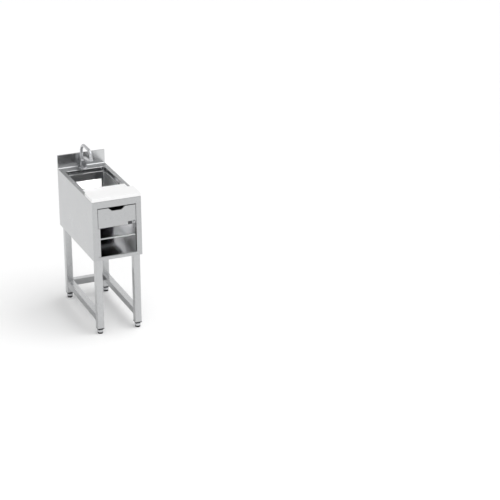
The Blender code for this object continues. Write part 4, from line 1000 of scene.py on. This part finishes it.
@dataclass
class Tap:
    """The tap: base, body, spout, outlet, cartridge and lever. Heights are over the deck."""

    shop: Workshop
    axis: Point = (0.0, 0.2769, 0.840)
    base: tuple[Ring, ...] = (
        (0.015, -0.045), (0.015, 0.0003), (0.0245, 0.0003), (0.0245, 0.0035), (0.0222, 0.006)
    )
    body: tuple[Ring, ...] = (
        (0.018, 0.0063), (0.018, 0.022), (0.0165, 0.022), (0.0165, 0.046), (0.018, 0.046), (0.018, 0.052)
    )
    collar: tuple[Ring, ...] = (
        (0.0215, 0.0223), (0.0215, 0.0457), (0.0168, 0.0457), (0.0168, 0.0223), (0.0215, 0.0223)
    )
    outlet: tuple[Ring, ...] = ((0.0085, -0.007), (0.0095, -0.009), (0.0115, -0.009), (0.0115, -0.0003))
    tube: float = 0.0094
    tube_start: float = 0.0185
    tube_offset: float = 0.0305
    tube_level: float = 0.034
    tube_top: float = 0.150
    tube_span: float = 0.1825
    rear_bend: float = 0.062
    front_bend: float = 0.045
    tail: float = 0.003
    # The faces along the tube's elbow, its rear bend and its front bend.
    bend_steps: tuple[int, int, int] = (12, 28, 24)
    dome_centre: float = 0.054
    dome_inside: float = 0.0174
    dome_wall: float = 0.0026
    dome_rim: float = math.radians(30)
    # The paddle's width, its place before the pivot and its thickness, at its root and at its tip.
    arm_root: Point = (0.028, -0.002, 0.009)
    arm_tip: Point = (0.022, -0.118, 0.006)
    arm_level: float = 0.010
    arm_rise: float = 0.014
    arm_corner: float = 0.008
    arm_corner_steps: int = 10
    arm_edge: float = 0.0018
    arm_edge_steps: int = 4
    lever_smooth: float = math.radians(40)
    edge: float = 0.0008
    round_steps: int = 96

    def build(self) -> None:
        """Builds and dresses the tap."""
        for name, rings in (("tap_base", self.base), ("tap_body", self.body)):
            piece = turned(name + "_fine", rings, self.axis, self.round_steps)
            soften(piece, self.edge)
            self.shop.dress(piece, CHROME, name)
        cartridge = refined("tap_cartridge", self.shop.nodes)
        smooth(cartridge)
        self.shop.dress(cartridge, CHROME, "tap_cartridge")
        self.spout()
        self.lever()
        self.shop.paint(CHROME, ("tap_nut",))

    def at(self, forward: float, up: float) -> Point:
        """Gives the place of a point in the tap's middle plane."""
        x, y, z = self.axis
        return (x, y + forward, z + up)

    def spout(self) -> None:
        """Builds the collar, the bent tube and the outlet in its mouth."""
        collar = turned("tap_spout_fine", self.collar, self.axis, self.round_steps)
        soften(collar, self.edge)
        elbow = self.tube_offset - self.tube_start
        mouth = self.tube_offset - self.tube_span
        rear = (self.tube_offset - self.rear_bend, self.tube_top - self.rear_bend)
        front = (mouth + self.front_bend, self.tube_top - self.front_bend)
        elbow_steps, rear_steps, front_steps = self.bend_steps
        moves = (
            Bend(self.at(self.tube_start, self.tube_level + elbow), elbow_steps),
            Straight((0, 0, rear[1] - self.tube_level - elbow)),
            Bend(self.at(*rear), rear_steps),
            Straight((0, front[0] - rear[0], 0)),
            Bend(self.at(*front), front_steps),
            Straight((0, 0, -self.tail)),
        )
        tube = piped("spout_tube", self.tube, self.at(self.tube_start, self.tube_level), moves)
        combine(collar, tube, Operation.JOINS)
        smooth(collar)
        self.shop.dress(collar, CHROME, "tap_spout")
        end = self.at(mouth, front[1] - self.tail)
        outlet = turned("tap_aerator_fine", self.outlet, end)
        soften(outlet, self.edge / 2)
        self.shop.dress(outlet, CHROME, "tap_aerator")

    def lever(self) -> None:
        """Builds the dome over the cartridge and the paddle that reaches to the front."""
        pivot = self.at(0, self.dome_centre)
        outside = self.dome_inside + self.dome_wall
        dome = ball("tap_lever_fine", outside, pivot)
        edit(dome, Selecting.FACES)
        bpy.ops.mesh.select_all(action="SELECT")
        rim = (pivot[0], pivot[1], pivot[2] + outside * math.sin(self.dome_rim))
        bpy.ops.mesh.bisect(plane_co=rim, plane_no=(0, 0, 1), clear_inner=True)
        done()
        modify(dome, "SOLIDIFY", thickness=self.dome_wall, offset=-1, use_even_offset=True)

        width, root, thick = self.arm_root
        tip_width, tip, tip_thick = self.arm_tip
        x, y, z = pivot
        low = z + self.arm_level
        arm = block("lever_arm", (x - width / 2, y + tip, low), (x + width / 2, y + root, low + thick))
        choose(arm, lambda centre, normal: normal.y < -SQUARELY)
        edit(arm, Selecting.FACES)
        bpy.ops.transform.resize(
            value=(tip_width / width, 1, tip_thick / thick), center_override=(x, y + tip, low)
        )
        bpy.ops.transform.translate(value=(0, 0, self.arm_rise))
        done()
        choose_edges(
            arm, lambda one, two: max(one.y, two.y) < y + tip + WELD and abs(one.z - two.z) > WELD
        )
        bevel_chosen(arm, self.arm_corner, self.arm_corner_steps)
        modify(
            arm, "BEVEL", width=self.arm_edge, segments=self.arm_edge_steps, limit_method="ANGLE"
        )
        room = ball("dome_room", self.dome_inside + self.dome_wall / 2, pivot)
        combine(arm, room, Operation.CUTS)
        combine(dome, arm, Operation.JOINS)
        smooth(dome, self.lever_smooth)
        self.shop.dress(dome, CHROME, "tap_lever")


@dataclass
class Undercarriage:
    """The legs, the stretchers between them, their caps, welds and the screw feet."""

    shop: Workshop
    fold: float = 0.0003
    leg_x: float = 0.118
    front_y: float = -0.2946
    rear_y: float = 0.2874
    tube: float = 0.040
    # How much of a normal points up on the top of a stretcher.
    upward: float = 0.5
    bead: float = 0.0011
    # The rounding of a weld bead, as a share of how far it stands out.
    bead_round: float = 0.9
    bead_steps: int = 4
    cup: tuple[Ring, ...] = (
        (0.0155, 0.0093), (0.018, 0.012), (0.018, 0.024), (0.0165, 0.0255), (0.0105, 0.0255),
        (0.0105, 0.0202), (0.0053, 0.0202), (0.0053, 0.0142)
    )
    sole: tuple[Ring, ...] = ((0.0145, 0.0), (0.0155, 0.001), (0.0155, 0.0093))
    cup_edge: float = 0.0006
    rod: float = 0.005
    rod_taper: float = 0.001
    rod_low: float = 0.0145
    rod_top: float = 0.062
    pitch: float = 0.0015
    rod_steps: int = 48
    nut: tuple[Ring, ...] = (
        (0.0095, 0.0207), (0.0095, 0.0253), (0.0061, 0.0253), (0.0061, 0.0207), (0.0095, 0.0207)
    )
    nut_sides: int = 6

    def build(self) -> None:
        """Dresses the legs and what is on them."""
        names = sorted(self.shop.nodes)
        self.shop.rework(
            [n for n in names if n.startswith(("leg_front", "leg_rear"))], SATIN_Z, self.fold
        )
        rails = self.shop.rework(
            ("stretcher_left", "stretcher_right", "stretcher_rear"), TUBE_SIDE_PAINTED_SHADE, self.fold
        )
        for rail in rails:
            coat(rail, TUBE_TOP_PAINTED_LIGHT)
            # Painted light on the top faces, painted shade on the sides.
            for face in rail.data.polygons:
                face.material_index = int(face.normal.z > self.upward)
        self.shop.rework([n for n in names if n.startswith("leg_cap")], BLACK_PLASTIC, self.fold)
        self.welds()
        self.feet()

    def welds(self) -> None:
        """Lays a ground weld bead round each end of the stretchers."""
        low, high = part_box("stretcher_left")
        half = self.tube / 2 + self.bead
        centre_z = (low[2] + high[2]) / 2
        side = block(
            "weld_bead_side",
            (-self.leg_x - half, low[1] - self.bead, centre_z - half),
            (-self.leg_x + half, low[1] + self.bead, centre_z + half),
        )
        rear_low, rear_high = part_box("stretcher_rear")
        rear = block(
            "weld_bead_rear",
            (rear_low[0] - self.bead, self.rear_y - half, centre_z - half),
            (rear_low[0] + self.bead, self.rear_y + half, centre_z + half),
        )
        for bead in (side, rear):
            soften(bead, self.bead * self.bead_round, self.bead_steps)
        across, along = 2 * self.leg_x, high[1] - low[1]
        shifts = (
            (side, (across, 0, 0)),
            (side, (0, along, 0)),
            (side, (across, along, 0)),
            (rear, (rear_high[0] - rear_low[0], 0, 0)),
        )
        twins = [copied(bead, f"weld_bead_{i}", shift) for i, (bead, shift) in enumerate(shifts)]
        for bead in (side, rear, *twins):
            self.shop.add(bead, WELD_BEAD, "station")

    def thread(self) -> list[Ring]:
        """Gives the rings of a threaded rod.

        Returns:
            A ring for each crest and root from the bottom up, and a narrower one at either end.
        """
        rings = [(self.rod - self.rod_taper, self.rod_low)]
        height = self.rod_low + self.pitch / 2
        while height + self.pitch < self.rod_top:
            rings.append((self.rod, height))
            rings.append((self.rod - self.pitch / 2, height + self.pitch / 2))
            height += self.pitch
        rings.append((self.rod - self.rod_taper, self.rod_top))
        return rings

    def feet(self) -> None:
        """Builds one foot and copies it under each leg."""
        centre = (-self.leg_x, self.front_y, 0.0)
        cup = turned("foot_cup_fine", self.cup, centre)
        soften(cup, self.cup_edge)
        sole = turned("foot_sole_fine", self.sole, centre)
        smooth(sole)
        rod = turned("foot_rod_fine", self.thread(), centre, self.rod_steps)
        nut = turned("foot_nut_fine", self.nut, centre, self.nut_sides)
        soften(nut, self.fold, SMALL_STEPS)
        across, along = 2 * self.leg_x, self.rear_y - self.front_y
        shifts = {
            "front_left": (0, 0, 0),
            "front_right": (across, 0, 0),
            "rear_left": (0, along, 0),
            "rear_right": (across, along, 0),
        }
        for name, shift in shifts.items():
            self.shop.dress(copied(cup, "foot_cup_" + name, shift), CHROME, "foot_pad_" + name)
            self.shop.add(copied(sole, "foot_sole_" + name, shift), RUBBER_AND_PAINTED_SHADE, "pad_" + name)
            self.shop.dress(copied(rod, "foot_rod_" + name, shift), ZINC, "foot_stem_" + name)
            self.shop.add(copied(nut, "foot_nut_" + name, shift), ZINC, "stem_" + name)
        for obj in (cup, sole, rod, nut):
            bpy.data.objects.remove(obj, do_unlink=True)


@dataclass(frozen=True)
class Lamp:
    """A soft rectangular light, with its power in watts and its beam's opening in degrees.

    A lamp with a narrow beam stands in for a reflector of the photo studio.
    """

    name: str
    place: Point
    aim: Point
    size: Pair
    power: float
    spread: float = FULL_SPREAD

    def hang(self) -> None:
        """Adds the lamp to the scene. Mirrors show it only where its beam isn't narrowed."""
        data = bpy.data.lights.new(self.name, "AREA")
        data.shape = "RECTANGLE"
        data.size, data.size_y = self.size
        data.energy = self.power
        data.spread = math.radians(self.spread)
        light = bpy.data.objects.new(self.name, data)
        light.location = self.place
        direction = Vector(self.aim) - Vector(self.place)
        light.rotation_euler = direction.to_track_quat("-Z", "Y").to_euler()
        light.visible_camera = False
        light.visible_glossy = self.spread == FULL_SPREAD
        bpy.context.scene.collection.objects.link(light)


@dataclass
class Studio:
    """A pale floor, soft studio light and a camera at the photograph's angle."""

    camera_place: Point = (-2.9462, -8.9802, 4.2729)
    # How far the camera looks down and to the right of straight to the rear, in radians.
    camera_down: float = 0.3902
    camera_right: float = 0.4125
    lens: float = 121.23
    sensor: float = 36
    far: float = 200
    floor_half: float = 60.0
    floor_colour: str = "FAFAFA"
    floor_roughness: float = 0.9
    floor_specular: float = 0.1
    # The sky's brightness at its lower and upper end, and the heights between which it changes.
    sky_start: float = 0.05
    sky_end: float = 0.8
    sky_low: float = 0.85
    sky_high: float = 0.55
    # Where the key light comes from, and how wide it is, in degrees.
    key_from: Point = (0.36, -0.2, 0.91)
    key_angle: float = 60.0
    key_strength: float = 1.52
    # A broad fill, a narrow beam on the bowl's rear and one on the niche's right side.
    lamps: tuple[Lamp, ...] = (
        Lamp("fill", (-1.6, -5.0, 3.0), (0, 0, 0.6), (1.6, 1.6), 40),
        Lamp("basin_lamp", (-0.79, -2.30, 2.38), (0.0, 0.17, 0.78), (0.12, 0.12), 0.11, 3.5),
        Lamp("niche_lamp", (-1.398, -2.937, 0.632), (0.1157, 0.075, 0.640), (0.08, 0.08), 2.2, 5.0),
    )

    def build(self) -> None:
        """Builds the studio."""
        self.floor()
        self.camera()
        self.lights()

    def floor(self) -> None:
        """Lays the floor."""
        deselect()
        bpy.ops.mesh.primitive_plane_add(size=2 * self.floor_half, location=(0, 0, 0))
        floor = bpy.context.active_object
        floor.name = "studio_floor"
        made = bpy.data.materials.new("studio_floor")
        made.use_nodes = True
        shader = made.node_tree.nodes["Principled BSDF"]
        shader.inputs["Base Color"].default_value = linear(self.floor_colour)
        shader.inputs["Roughness"].default_value = self.floor_roughness
        shader.inputs["Specular IOR Level"].default_value = self.floor_specular
        floor.data.materials.append(made)

    def camera(self) -> None:
        """Sets the camera where the photograph was taken from."""
        data = bpy.data.cameras.new("photo_camera")
        data.lens = self.lens
        data.sensor_width = self.sensor
        data.clip_end = self.far
        camera = bpy.data.objects.new("photo_camera", data)
        camera.location = self.camera_place
        camera.rotation_euler = (QUARTER - self.camera_down, 0, -self.camera_right)
        bpy.context.scene.collection.objects.link(camera)
        bpy.context.scene.camera = camera

    def lights(self) -> None:
        """Sets a pale sky that greys overhead, the broad key light and the lamps."""
        world = bpy.data.worlds.new("studio")
        bpy.context.scene.world = world
        world.use_nodes = True
        tree = world.node_tree
        along = add_node(tree, "TexCoord").outputs["Generated"]
        height = add_node(tree, "SeparateXYZ", inputs={"Vector": along}).outputs["Z"]
        sky = add_node(
            tree,
            "MapRange",
            inputs={
                "Value": height,
                "From Min": self.sky_start,
                "From Max": self.sky_end,
                "To Min": self.sky_low,
                "To Max": self.sky_high,
            },
        )
        background = tree.nodes["Background"]
        background.inputs["Color"].default_value = linear("FFFFFF")
        tree.links.new(sky.outputs[0], background.inputs["Strength"])
        data = bpy.data.lights.new("key", "SUN")
        data.energy = self.key_strength
        data.angle = math.radians(self.key_angle)
        key = bpy.data.objects.new("key", data)
        key.rotation_euler = Vector(self.key_from).to_track_quat("Z", "Y").to_euler()
        bpy.context.scene.collection.objects.link(key)
        for lamp in self.lamps:
            lamp.hang()
        scene = bpy.context.scene
        scene.view_settings.view_transform = "Standard"
        scene.view_settings.look = "None"


def bodies_of(record: dict) -> dict[str, str]:
    """Names the body of each frame node.

    Args:
        record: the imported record.

    Returns:
        The body's name for each node's name.
    """
    groups = record["behaviour"]["bodies"]
    return {node: body for body, nodes in groups.items() for node in nodes}


def main() -> None:
    """Builds the station around its frame."""
    logging.basicConfig(level=logging.INFO, format="%(message)s")
    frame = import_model()
    shop = Workshop(frame["nodes"], bodies_of(frame["record"]))
    for part in (SheetBody, Worktop, Basin, Niche, Drawer, Board, Tap, Undercarriage):
        part(shop).build()
    Studio().build()
    deselect()


if __name__ == "__main__":
    main()
